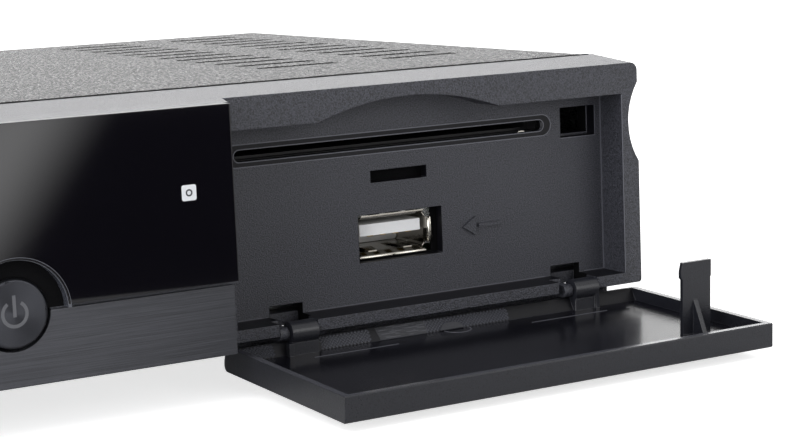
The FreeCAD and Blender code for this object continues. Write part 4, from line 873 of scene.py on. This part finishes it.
    def sill(self) -> None:
        """Painted shade on the sill's top and in its notches, and painted highlights on the arrises round the
        compartment.
        """
        # A dark skin over the sill's top: painted shade.
        top = film("sill_top", "front_bezel",
                   lambda c, n: n.z > 0.99 and abs(c.z - self.sill_level) < 0.03, 0.02)
        new_piece(top, SHADE_SATIN)
        # Black skins on the notch walls: painted shade.
        self.shade_skin("notch_lining", SHADE_BLACK, [(*span, *self.notch_walls) for span in self.notch_spans])
        # Thin lighter bars on the arrises: painted highlights.
        back, front, x = self.back_level, self.frame_level, self.wall_x
        edges = [(*span, back - 0.06, back, *self.arris) for span in self.arris_spans]
        edges += [(x - 0.2, x, back - 0.12, back, *self.wall_z),
                  (x - 0.06, x + 0.1, front - 0.03, front, *self.wall_z)]
        new_piece(bars("light_arrises", edges), EDGE_ABS)

    def card_mouth(self) -> None:
        """The card slot's rim in painted shade between two fine beads whose lighter finish is a painted highlight,
        painted shade inside the slot, and the contact that shows in it.
        """
        level, (x, z), mouth, rim = self.back_level, self.card_centre, self.card_half, self.card_rim
        inner = stadium((x, z), mouth)
        # A dark ring round the slot's mouth: painted shade.
        new_piece(looped("card_rim", [(inner, stadium((x, z), rim))], level, 0.05), SHADE_SATIN)
        # The beads take the lighter arris finish: painted highlights.
        beads = [(inner, stadium((x, z), mouth, 0.14)), (stadium((x, z), rim, -0.08), stadium((x, z), rim, 0.08))]
        new_piece(looped("card_beads", beads, level, 0.11), EDGE_ABS)
        # A dark skin inside the slot: painted shade.
        wide, high = mouth[0] + 0.1, mouth[1] + 0.1
        self.shade_skin("card_lining", SHADE_BLACK, [(x - wide, x + wide, level + 0.3, math.inf, z - high, z + high)])
        contact = arc_band(self.contact_centre, 1.45, 1.62, 66.0, 114.0, 16)
        new_piece(drawn("card_spring", [contact], level + 0.9, 0.3), NICKEL)

    def latch_pocket(self) -> None:
        """Painted shade on the latch pocket's walls and behind its catch, and painted highlights on the arrises of
        its step and mouth.
        """
        low, high, foot, top = self.pocket
        front, step, ledge = self.back_level, self.back_level + self.pocket_depth, foot + self.pocket_step
        self.shade_skin("pocket_lining", SHADE_SATIN,
                    [(low - 0.1, high + 0.1, front + 0.1, math.inf, foot - 0.1, top + 0.1)])
        # Thin lighter bars on the arrises: painted highlights.
        edges = [(high - 0.13, high - 0.02, step - 0.06, step + 0.05, ledge, top - 0.05),
                 (low + 0.05, high - 0.02, step - 0.06, step, ledge - 0.1, ledge),
                 (high + 0.02, high + 0.14, front - 0.05, front, foot - 0.12, top),
                 (low, high + 0.14, front - 0.05, front, foot - 0.14, foot - 0.02)]
        new_piece(bars("pocket_arrises", edges), EDGE_ABS)
        # A black bar behind the catch: painted shade.
        behind = (high - 0.1, high - 0.02, step + 0.06, step + 2.4, ledge, top - 0.05)
        new_piece(bars("catch_lining", [behind]), SHADE_BLACK)


@dataclass
class PowerButton:
    """The spun button cap with its printed power sign."""

    edge: float = 0.1
    sign_radius: float = 1.72
    stroke: float = 0.48
    opening: float = 34.0
    bar: Pair = (-0.45, 2.55)

    def build(self) -> None:
        """Finishes the cap and prints the sign."""
        softened("power_button", self.edge, SPUN_DARK, Body.BUTTON, 3)
        left, front, foot, right, _, top = limits("power_button")
        x, z, half = (left + right) / 2, (foot + top) / 2, self.stroke / 2
        ring = arc_band((x, z), self.sign_radius - half, self.sign_radius + half, 90 + self.opening,
                        450 - self.opening)
        stem = rect(x - half, x + half, z + self.bar[0], z + self.bar[1])
        new_piece(drawn("power_sign", [ring, stem], front + 0.01, 0.04), GREY_INK, Body.BUTTON)


@dataclass
class Flap:
    """The hinged flap, with its diamond grip band along the hinge edge."""

    edge: float = 0.09
    band_start: Point = (0.0, -54.157, 6.262)
    band_end: Point = (0.0, -55.302, 4.279)
    band_spans: tuple[Pair, ...] = ((37.5, 43.6), (51.0, 60.0), (69.6, 85.6))
    pitch: float = 0.62
    rows: int = 4
    stud: float = 0.17
    patch_span: Pair = (60.6, 69.4)
    streak_rows: int = 9
    mound: Point = (74.0, 2.1, 1.15)
    floor_levels: Pair = (3.0, 4.6)
    rim_levels: Pair = (4.9, 10.0)
    rim_back: float = -57.0
    line_y: float = -58.8
    line_half: float = 0.07
    line_spans: tuple[Pair, ...] = ((47.6, 62.2), (86.8, 101.5))
    pin_mark: Pair = (74.7, -55.6)
    hinge: Pair = (-54.592, 4.3)
    tilt: float = 0.028

    def build(self) -> None:
        """Finishes the flap and adds its band, films, patch and marks."""
        softened("flap_door", self.edge, SATIN_ABS, Body.FLAP)
        self.grip_band()
        middle = (self.band_start[1] + self.band_end[1]) / 2
        # A dark skin over the sloping land: painted shade.
        land = film("polished_land", "flap_door",
                    lambda c, n: n.z > 0.4 and n.y < -0.8 and abs(c.y - middle) < 1.0, 0.01)
        new_piece(land, SHADE_SATIN, Body.FLAP)
        low, high = self.rim_levels
        # A glossier, lighter film on the rim's top: the lighter colour is a painted highlight.
        rim = film("rim_sheen", "flap_door",
                   lambda c, n: n.z > 0.95 and low < c.z < high and c.y < self.rim_back, 0.012)
        new_piece(rim, RIM_ABS, Body.FLAP)
        self.scraped_patch()
        self.polished_floor()
        self.floor_marks()

    def grip_band(self) -> None:
        """Sets the studs of the band in staggered rows on the sloping land."""
        half = self.pitch * 0.48 * MM
        stud = bpy.data.meshes.new("stud")
        stud.from_pydata([(half, 0, 0), (0, half, 0), (-half, 0, 0), (0, -half, 0), (0, 0, self.stud * MM)], [],
                         [(0, 1, 4), (1, 2, 4), (2, 3, 4), (3, 0, 4), (3, 2, 1, 0)])
        start = Vector(self.band_start)
        run = Vector(self.band_end) - start
        slope = math.degrees(math.atan2(run.z, run.y)) - 180
        points = []
        for low, high in self.band_spans:
            for row in range(self.rows * 2 - 1):
                along = start + run * ((row + 1) / (self.rows * 2))
                points += [(low + (k + (row % 2) / 2) * self.pitch, along.y, along.z)
                           for k in range(int((high - low) / self.pitch))]
        # The studs take a lighter finish, a painted highlight.
        Repeat("flap_band", stud, points, ((slope, 0.0, 0.0),)).piece(GRIP_ABS, Body.FLAP)

    def on_land(self, name: str, outlines: Sequence[Outline], thickness: float) -> Mesh:
        """Lays slabs on the sloping land.

        Args:
            name: The mesh's name.
            outlines: Outlines as x and the distance down the slope, in mm.
            thickness: How far they stand out, in mm.

        Returns:
            The mesh of all the slabs.
        """
        start = Vector(self.band_start)
        down = (Vector(self.band_end) - start).normalized()
        return slabs(name, outlines, lambda x, s: Vector((x, start.y, start.z)) + down * s,
                     Vector((0.0, down.z, -down.y)) * thickness)

    def scraped_patch(self) -> None:
        """The streaked patch between two grip bands and the lens an ejector pin left below one."""
        low, high = self.patch_span
        length = (Vector(self.band_end) - Vector(self.band_start)).length - 0.08
        patch = [(low, 0.12), (low + 0.5, length), (high + 0.4, length), (high - 0.1, 0.12)]
        new_piece(self.on_land("scraped_patch", [patch], 0.04), SCRAPED_ABS, Body.FLAP)
        streaks = []
        for row, k in itertools.product(range(self.streak_rows), range(2)):
            level = 0.2 + row * (length - 0.3) / self.streak_rows
            begin = low + 0.5 + (high - low) * (0.5 * k + 0.16 * (1 + math.sin(row * 2.3 + k * 4.1)))
            reach = min(high, begin + 1.6 + 1.3 * math.sin(row * 1.7 + k * 2.9))
            streaks.append([(begin, level), (begin + 0.25, level + 0.11), (reach + 0.25, level + 0.11),
                            (reach, level)])
        new_piece(self.on_land("scraped_streaks", streaks, 0.06), GRIP_ABS, Body.FLAP)
        centre, across, up = self.mound
        lens = [(centre + across * math.cos(a), length - up * math.sin(a)) for a in fan(0, 180, 24)]
        new_piece(self.on_land("pin_lens", [lens], 0.2), SCRAPED_ABS, Body.FLAP)

    def polished_floor(self) -> None:
        """A film of the polished finish over the flap's inside floor."""
        shape = welded("flap_door")
        low, high = self.floor_levels
        away = [f for f in shape.faces
                if f.normal.z < 0.99 or not low * MM < f.calc_center_median().z < high * MM]
        bmesh.ops.delete(shape, geom=away, context="FACES")
        raised(shape, shape.faces, (0, 0, 0.015))
        new_piece(closed(shape, "polished_floor"), POLISHED_ABS, Body.FLAP)

    def floor_marks(self) -> None:
        """Two fine mould lines and the half round mark of an ejector pin on the floor."""
        outlines = [rect(*span, self.line_y - self.line_half, self.line_y + self.line_half)
                    for span in self.line_spans]
        outlines.append(arc_band(self.pin_mark, 2.2, 2.38, 180.0, 360.0))
        hinge_y, level = self.hinge
        marks = slabs("floor_marks", outlines, lambda x, y: (x, y, level + (y - hinge_y) * self.tilt),
                      (0, 0, 0.07))
        new_piece(marks, EDGE_ABS, Body.FLAP)


@dataclass
class FrontSockets:
    """The USB receptacle and its springs."""

    shell_edge: float = 0.03
    tongue_edge: float = 0.12
    sheet: float = 0.3
    spring_root: float = 3.2
    spring_tip: float = 1.5
    spring_length: float = 7.4
    spring_rise: float = 0.75
    spring_steps: int = 12
    spring_pitch: float = 6.4
    spring_setback: float = 1.1
    bead: float = 0.3
    bead_gap: float = 0.12
    side_bead: Pair = (0.48, 3.9)

    def build(self) -> None:
        """Finishes the receptacle's shell and tongue and sets its springs."""
        # The shell and its springs take the darker nickel: painted shade.
        softened("usb_shell", self.shell_edge, SHADED_NICKEL, segments=1)
        softened("usb_tongue", self.tongue_edge, WHITE_PBT)
        left, front, foot, right, _, _ = limits("usb_shell")
        centres = [((left + right) / 2 + side * self.spring_pitch / 2, front + self.spring_setback,
                    foot + self.sheet) for side in (-1, 1)]
        self.beads()
        Repeat("usb_springs", self.spring(), centres).piece(SHADED_NICKEL)
        # Dark slabs round the springs: painted shade.
        Repeat("usb_spring_slots", self.slot_outline(), centres).piece(BLACK_NYLON)

    @staticmethod
    def rolled(radius: float, length: float, ease: float, shoulder: float) -> Outline:
        """The outline of a rolled edge.

        Args:
            radius: Its radius in mm.
            length: Its length in mm.
            ease: Where its ends reach most of the radius, in mm.
            shoulder: Where they reach all of it, in mm.

        Returns:
            Pairs of radius and height.
        """
        return [(0.0, 0.0), (radius * 0.7, ease), (radius, shoulder), (radius, length - shoulder),
                (radius * 0.7, length - ease), (0.0, length)]

    def beads(self) -> None:
        """The rolled edges of the two lower lips and of one side."""
        left, front, foot, right, _, top = limits("usb_shell")
        middle, length = (left + right) / 2, (right - left) / 2 - 1.0
        bead = turned("bead", self.rolled(self.bead, length, 0.08, 0.3), lean=90, sides=16)
        spots = [(x, front + 0.22, foot + 0.12) for x in (middle + self.bead_gap, middle - self.bead_gap - length)]
        Repeat("usb_beads", bead, spots).piece(NICKEL, smooth_to=32)
        wide, tall = self.side_bead
        place = (right - wide + 0.35, front + wide, (foot + top - tall) / 2)
        new_piece(turned("usb_side_bead", self.rolled(wide, tall, 0.1, 0.35), place, sides=20), NICKEL)

    def spring(self) -> Mesh:
        """One pressed spring: a tapered blade that rises from the floor and dips again."""
        rows = []
        for k in range(self.spring_steps + 1):
            part = k / self.spring_steps
            half = (self.spring_root + (self.spring_tip - self.spring_root) * part) / 2
            rise = self.spring_rise * math.sin(math.pi * min(1.0, part * 0.8)) + 0.04
            rows.append([(x, self.spring_length * (1 - part), z) for x, z in rect(-half, half, rise, rise + 0.2)])
        return lofted("spring", rows)

    def slot_outline(self) -> Mesh:
        """A dark slab a hair above the floor, painted shade where the spring was pressed out of the shell."""
        root, tip, length = self.spring_root / 2 + 0.45, self.spring_tip / 2 + 0.75, self.spring_length
        outline = [(-tip, -0.35), (tip, -0.35), (root, length - 0.4), (-root, length - 0.4)]
        return slabs("slot", [outline], lambda x, y: (x, y, 0.012), (0, 0, 0.015))


@dataclass
class SheetMetal:
    """The folded cover and the rear panel."""

    cover_edge: float = 0.12
    panel_edge: float = 0.08

    def build(self) -> None:
        """Rounds the sheets' cut edges."""
        softened("top_cover", self.cover_edge, COATED_STEEL)
        softened("rear_panel", self.panel_edge, COATED_STEEL)


@dataclass
class Fasteners:
    """Pan-head screws with a cross recess, and the rubber feet."""

    head_radius: float = 2.8
    head_height: float = 1.6
    skirt: float = 0.35
    dome: float = 1.1
    recess: Pair = (1.5, 0.275)
    recess_levels: Pair = (0.7, 2.9)
    rear_side_y: float = 60.3079
    panel_x: float = 93.0
    foot_radius: float = 8.0
    foot_bore: float = 1.55
    foot_well: Pair = (3.6, 4.0)

    def head(self) -> Mesh:
        """One screw head, its seat at height nought and its top towards +Z."""
        radius, skirt, rise = self.head_radius, self.skirt, self.head_height - self.skirt
        profile = [(0, 0.0), (radius, 0.0), (radius, skirt)]
        profile += [(radius - self.dome * (1 - math.cos(a)), skirt + rise * math.sin(a))
                    for a in fan(0, 90, 6)[1:]]
        body = linked("head", turned("head", [*profile, (0, self.head_height)], sides=32))
        cutters = []
        for x, y in (self.recess, self.recess[::-1]):
            cutters.append(linked("cross", bars("cross", [(-x, x, -y, y, *self.recess_levels)])))
            cut = body.modifiers.new("cross", "BOOLEAN")
            cut.operation = "DIFFERENCE"
            cut.object = cutters[-1]
        mesh = applied("head", body)
        for cutter in cutters:
            bpy.data.objects.remove(cutter)
        return smooth(mesh)

    def build(self) -> None:
        """Sets a screw wherever the cover and the panel have one, and the feet."""
        left, _, _, right, _, _ = limits("top_cover")
        _, front, foot, _, _, top = limits("cover_screws")
        side_y = (front + self.head_radius, self.rear_side_y)
        points = [(x, y, top - self.head_radius) for x in (left, right) for y in side_y]
        points += [(x, limits("rear_panel")[4], foot + self.head_radius) for x in (-self.panel_x, self.panel_x)]
        turns = [(0.0, -90.0, 0.0)] * 2 + [(0.0, 90.0, 0.0)] * 2 + [TO_REAR] * 2
        Repeat("cover_screw_heads", self.head(), points, turns).piece(BLACK_ZINC, stands_for="cover_screws")
        self.feet()

    def feet(self) -> None:
        """The four tapered feet with a rounded lower edge and a screw recess."""
        left, front, foot, right, back, top = limits("feet")
        radius, height, bore, (well, depth) = self.foot_radius, top - foot, self.foot_bore, self.foot_well
        outline = [(bore, depth), (well, depth), (well, 0.0), (6.3, 0.0), (6.75, 0.15), (7.0, 0.5),
                   (radius, height - 0.3), (radius - 0.3, height), (bore, height), (bore, depth)]
        centres = [(x, y, 0.0) for x in (left + radius, right - radius) for y in (front + radius, back - radius)]
        Repeat("rubber_feet", turned("foot", outline), centres).piece(RUBBER, stands_for="feet", smooth_to=32)


@dataclass
class RearSockets:
    """Turned connectors at the back."""

    thread_pitch: float = 0.794
    thread_depth: float = 0.32
    thread_radius: float = 4.76
    aerial_bore: float = 3.4
    aerial_neck: float = 4.3
    ring_radii: Pair = (3.4, 4.15)
    jack_bore: float = 1.7

    def build(self) -> None:
        """Turns the threaded aerial connectors and the plated jacks."""
        self.aerials()
        self.phono()
        for node, width, finish, body in (
                ("mains_inlet", 0.2, BLACK_NYLON, Body.HOUSING), ("rocker_switch", 0.2, BLACK_NYLON, Body.HOUSING),
                ("rear_rocker", 0.25, BLACK_NYLON, Body.ROCKER), ("network_jack", 0.12, BLACK_NYLON, Body.HOUSING),
                ("hdmi_socket", 0.06, NICKEL, Body.HOUSING), ("f_nuts", 0.12, NICKEL, Body.HOUSING)):
            softened(node, width, finish, body)

    def aerials(self) -> None:
        """Two turned barrels with thread ridges."""
        left, start, foot, right, end, top = limits("f_connectors")
        length, nut = end - start, limits("f_nuts")[4] - start
        crest, bore, neck = self.thread_radius, self.aerial_bore, self.aerial_neck
        root = crest - self.thread_depth
        outline = [(bore, 5.0), (neck, 0.0), (neck, nut)]
        level = nut + 0.2
        while level + self.thread_pitch < length - 0.3:
            outline += [(root, level), (crest, level + self.thread_pitch / 2)]
            level += self.thread_pitch
        outline += [(root, level), (crest - 0.1, length - 0.25), (crest - 0.35, length), (bore, length),
                    (bore, 5.0)]
        centres = [(x, start, (foot + top) / 2) for x in (left + crest, right - crest)]
        Repeat("aerial_barrels", turned("aerial_barrel", outline), centres, (TO_REAR,)).piece(
            NICKEL, stands_for="f_connectors", smooth_to=25)

    def phono(self) -> None:
        """Four plated rings and their coloured inserts."""
        left, front, foot, right, back, top = limits("rca_rings")
        length, (inner, outer), bore = back - front, self.ring_radii, self.jack_bore
        ring = turned("ring", [(inner, 0.0), (outer, 0.0), (outer, length - 0.25), (outer - 0.25, length),
                               (inner + 0.1, length), (inner, length - 0.1), (inner, 0.0)])
        plug = turned("plug", [(bore, 0.0), (inner, 0.0), (inner, length - 0.7), (inner - 0.2, length - 0.5),
                               (bore + 0.2, length - 0.5), (bore, length - 0.7), (bore, 0.0)])
        centres = [(x, front, z) for z in (foot + outer, top - outer) for x in (left + outer, right - outer)]
        Repeat("jack_rings", ring, centres, (TO_REAR,)).piece(NICKEL, stands_for="rca_rings", smooth_to=32)
        for k, (centre, colour) in enumerate(zip(centres, INSERT_COLOURS)):
            finish = Finish(f"jack_insert_{k}", "white_plastic", colour, Grain.SPARK, 0.3, 0.003,
                            roughness=0.35)
            Repeat(f"jack_insert_{k}", plug, (centre,), (TO_REAR,)).piece(
                finish, stands_for="" if k else "rca_inserts", smooth_to=32)


@dataclass
class Studio:
    """The camera, the lamps, the world and the pale floor."""

    place: Point = (-94.54675, -327.14127, 69.3292)
    forward: Point = (0.50154518, 0.8527134, -0.14605581)
    right: Point = (0.85836706, -0.51155126, -0.03900393)
    sensor: float = 36.0
    focal_ratio: float = 2.596369
    flag_y: float = -150.0
    flag_x: Pair = (14.0, 84.0)
    flag_height: float = 37.0
    flag_lean: float = 0.715
    flag_fade: Pair = (8.0, 28.0)
    flag_light: float = 3.6
    floor_half: float = 3000.0
    floor_lift: float = 0.7
    floor_mirrored: float = 0.05
    world_lamp: float = 0.55
    # Name, place and aim in metres, width and height in metres, power in watts.
    lamps: tuple[tuple[str, Point, Point, Pair, float], ...] = (
        ("key", (-0.9, -0.5, 0.9), (0.0, 0.0, 0.0), (0.8, 0.8), 6.0),
        ("left", (-0.85, -0.55, 0.16), (0.06, -0.05, 0.02), (0.5, 0.3), 3.2),
        ("front", (0.55, -0.95, 0.4), (0.05, -0.05, 0.02), (0.5, 0.4), 1.6),
        ("back", (0.95, 1.6, 0.9), (0.0, 0.0, 0.0), (1.7, 0.5), 17.0))

    def camera(self) -> None:
        """Sets the camera."""
        data = bpy.data.cameras.new("camera")
        data.sensor_width = self.sensor
        data.lens = self.sensor * self.focal_ratio
        data.clip_start, data.clip_end = 0.01, 20.0
        camera = linked("camera", data)
        ahead, across = Vector(self.forward).normalized(), Vector(self.right).normalized()
        turn = Matrix((across, across.cross(ahead), -ahead)).transposed().to_4x4()
        camera.matrix_world = Matrix.Translation(Vector(self.place) * MM) @ turn
        bpy.context.scene.camera = camera

    def light(self) -> None:
        """Adds the soft rectangular lamps."""
        for name, place, aim, size, power in self.lamps:
            data = bpy.data.lights.new(name, "AREA")
            data.shape = "RECTANGLE"
            data.size, data.size_y = size
            data.energy = power
            toward = (Vector(aim) - Vector(place)).to_track_quat("-Z", "Y").to_matrix().to_4x4()
            linked(name, data).matrix_world = Matrix.Translation(place) @ toward

    @staticmethod
    def rays(tree: NodeTree) -> tuple[NodeSocket, NodeSocket]:
        """Tells the camera's rays from mirrored ones.

        Args:
            tree: The tree to add to.

        Returns:
            A socket that is one on a camera ray, and one that is so on a glossy or transmitted ray.
        """
        path = add_node(tree, "ShaderNodeLightPath").outputs
        return path["Is Camera Ray"], maths(tree, "MAXIMUM", path["Is Glossy Ray"], path["Is Transmission Ray"])

    def world(self) -> None:
        """White to the camera and in reflections, gentler as a light."""
        world = bpy.data.worlds.new("studio")
        bpy.context.scene.world = world
        world.use_nodes = True
        tree = world.node_tree
        tree.nodes.clear()
        strength = maths(tree, "MULTIPLY_ADD", maths(tree, "MAXIMUM", *self.rays(tree)), 1 - self.world_lamp,
                         self.world_lamp)
        light = add_node(tree, "ShaderNodeBackground", {"Color": (1, 1, 1, 1)}, {"Strength": strength})
        add_node(tree, "ShaderNodeOutputWorld", None, {0: light.outputs[0]})

    @staticmethod
    def sheet(name: str, corners: Sequence[Point], material: str) -> tuple[Object, NodeTree]:
        """Stages one flat sheet with a new material.

        Args:
            name: The sheet's name.
            corners: Its four corners in mm.
            material: The material's name.

        Returns:
            The sheet and its material's tree.
        """
        mesh = bpy.data.meshes.new(name)
        mesh.from_pydata([Vector(p) * MM for p in corners], [], [(0, 1, 2, 3)])
        made = bpy.data.materials.new(material)
        made.use_nodes = True
        mesh.materials.append(made)
        sheet = linked(name, mesh)
        return sheet, made.node_tree

    def floor(self) -> None:
        """A wide pale floor that keeps the object's shadow."""
        half = self.floor_half
        _, tree = self.sheet("floor", [(x, y, 0) for x, y in rect(-half, half, -half, half)], "paper_floor")
        shader = tree.nodes["Principled BSDF"]
        for socket, value in (("Base Color", linear("#FAFAFA")), ("Roughness", 0.9), ("Specular IOR Level", 0.1),
                              ("Emission Color", (1, 1, 1, 1))):
            shader.inputs[socket].default_value = value
        seen, mirrored = self.rays(tree)
        lift = maths(tree, "MULTIPLY_ADD", seen, self.floor_lift,
                     maths(tree, "MULTIPLY", mirrored, self.floor_mirrored))
        tree.links.new(lift, shader.inputs["Emission Strength"])

    def flag(self) -> None:
        """A black card, lit at its left, that only glossy faces mirror."""
        corners = [(x, self.flag_y, z) for x, z in rect(*self.flag_x, 0, self.flag_height)]
        card, tree = self.sheet("flag", corners, "flag_card")
        card.visible_camera = card.visible_diffuse = card.visible_shadow = card.visible_transmission = False
        tree.nodes.clear()
        axes = add_node(tree, "ShaderNodeSeparateXYZ", None,
                        {0: add_node(tree, "ShaderNodeTexCoord").outputs["Object"]}).outputs
        across = maths(tree, "SUBTRACT", axes[0], maths(tree, "MULTIPLY", axes[2], self.flag_lean))
        fade = remapped(tree, across, interpolation_type="SMOOTHSTEP", From_Min=self.flag_fade[0] * MM,
                        From_Max=self.flag_fade[1] * MM, To_Min=self.flag_light, To_Max=0.0)
        glow = add_node(tree, "ShaderNodeEmission", None, {"Strength": fade})
        add_node(tree, "ShaderNodeOutputMaterial", None, {0: glow.outputs[0]})

    def build(self) -> None:
        """Sets the studio up."""
        bpy.context.scene.view_settings.view_transform = "Standard"
        self.camera()
        self.world()
        self.floor()
        self.flag()
        self.light()
        LOG.info("studio ready")


def dress_cad_nodes() -> None:
    """Gives every solid that stays in view its finish."""
    for finish, nodes in CAD_FINISHES.items():
        for node in nodes.split():
            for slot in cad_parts[node].material_slots:
                slot.material = finish.material()
            LOG.info("%s: %s", node, finish.name)


def main() -> None:
    """Builds every sub-assembly in order."""
    logging.basicConfig(level=logging.INFO, format="%(name)s %(message)s")
    dress_cad_nodes()
    for assembly in (FrontMoulding(), PowerButton(), Flap(), FrontSockets(), SheetMetal(), Fasteners(),
                     RearSockets(), Studio()):
        assembly.build()
        LOG.info("%s done", type(assembly).__name__)


if __name__ == "__main__":
    main()
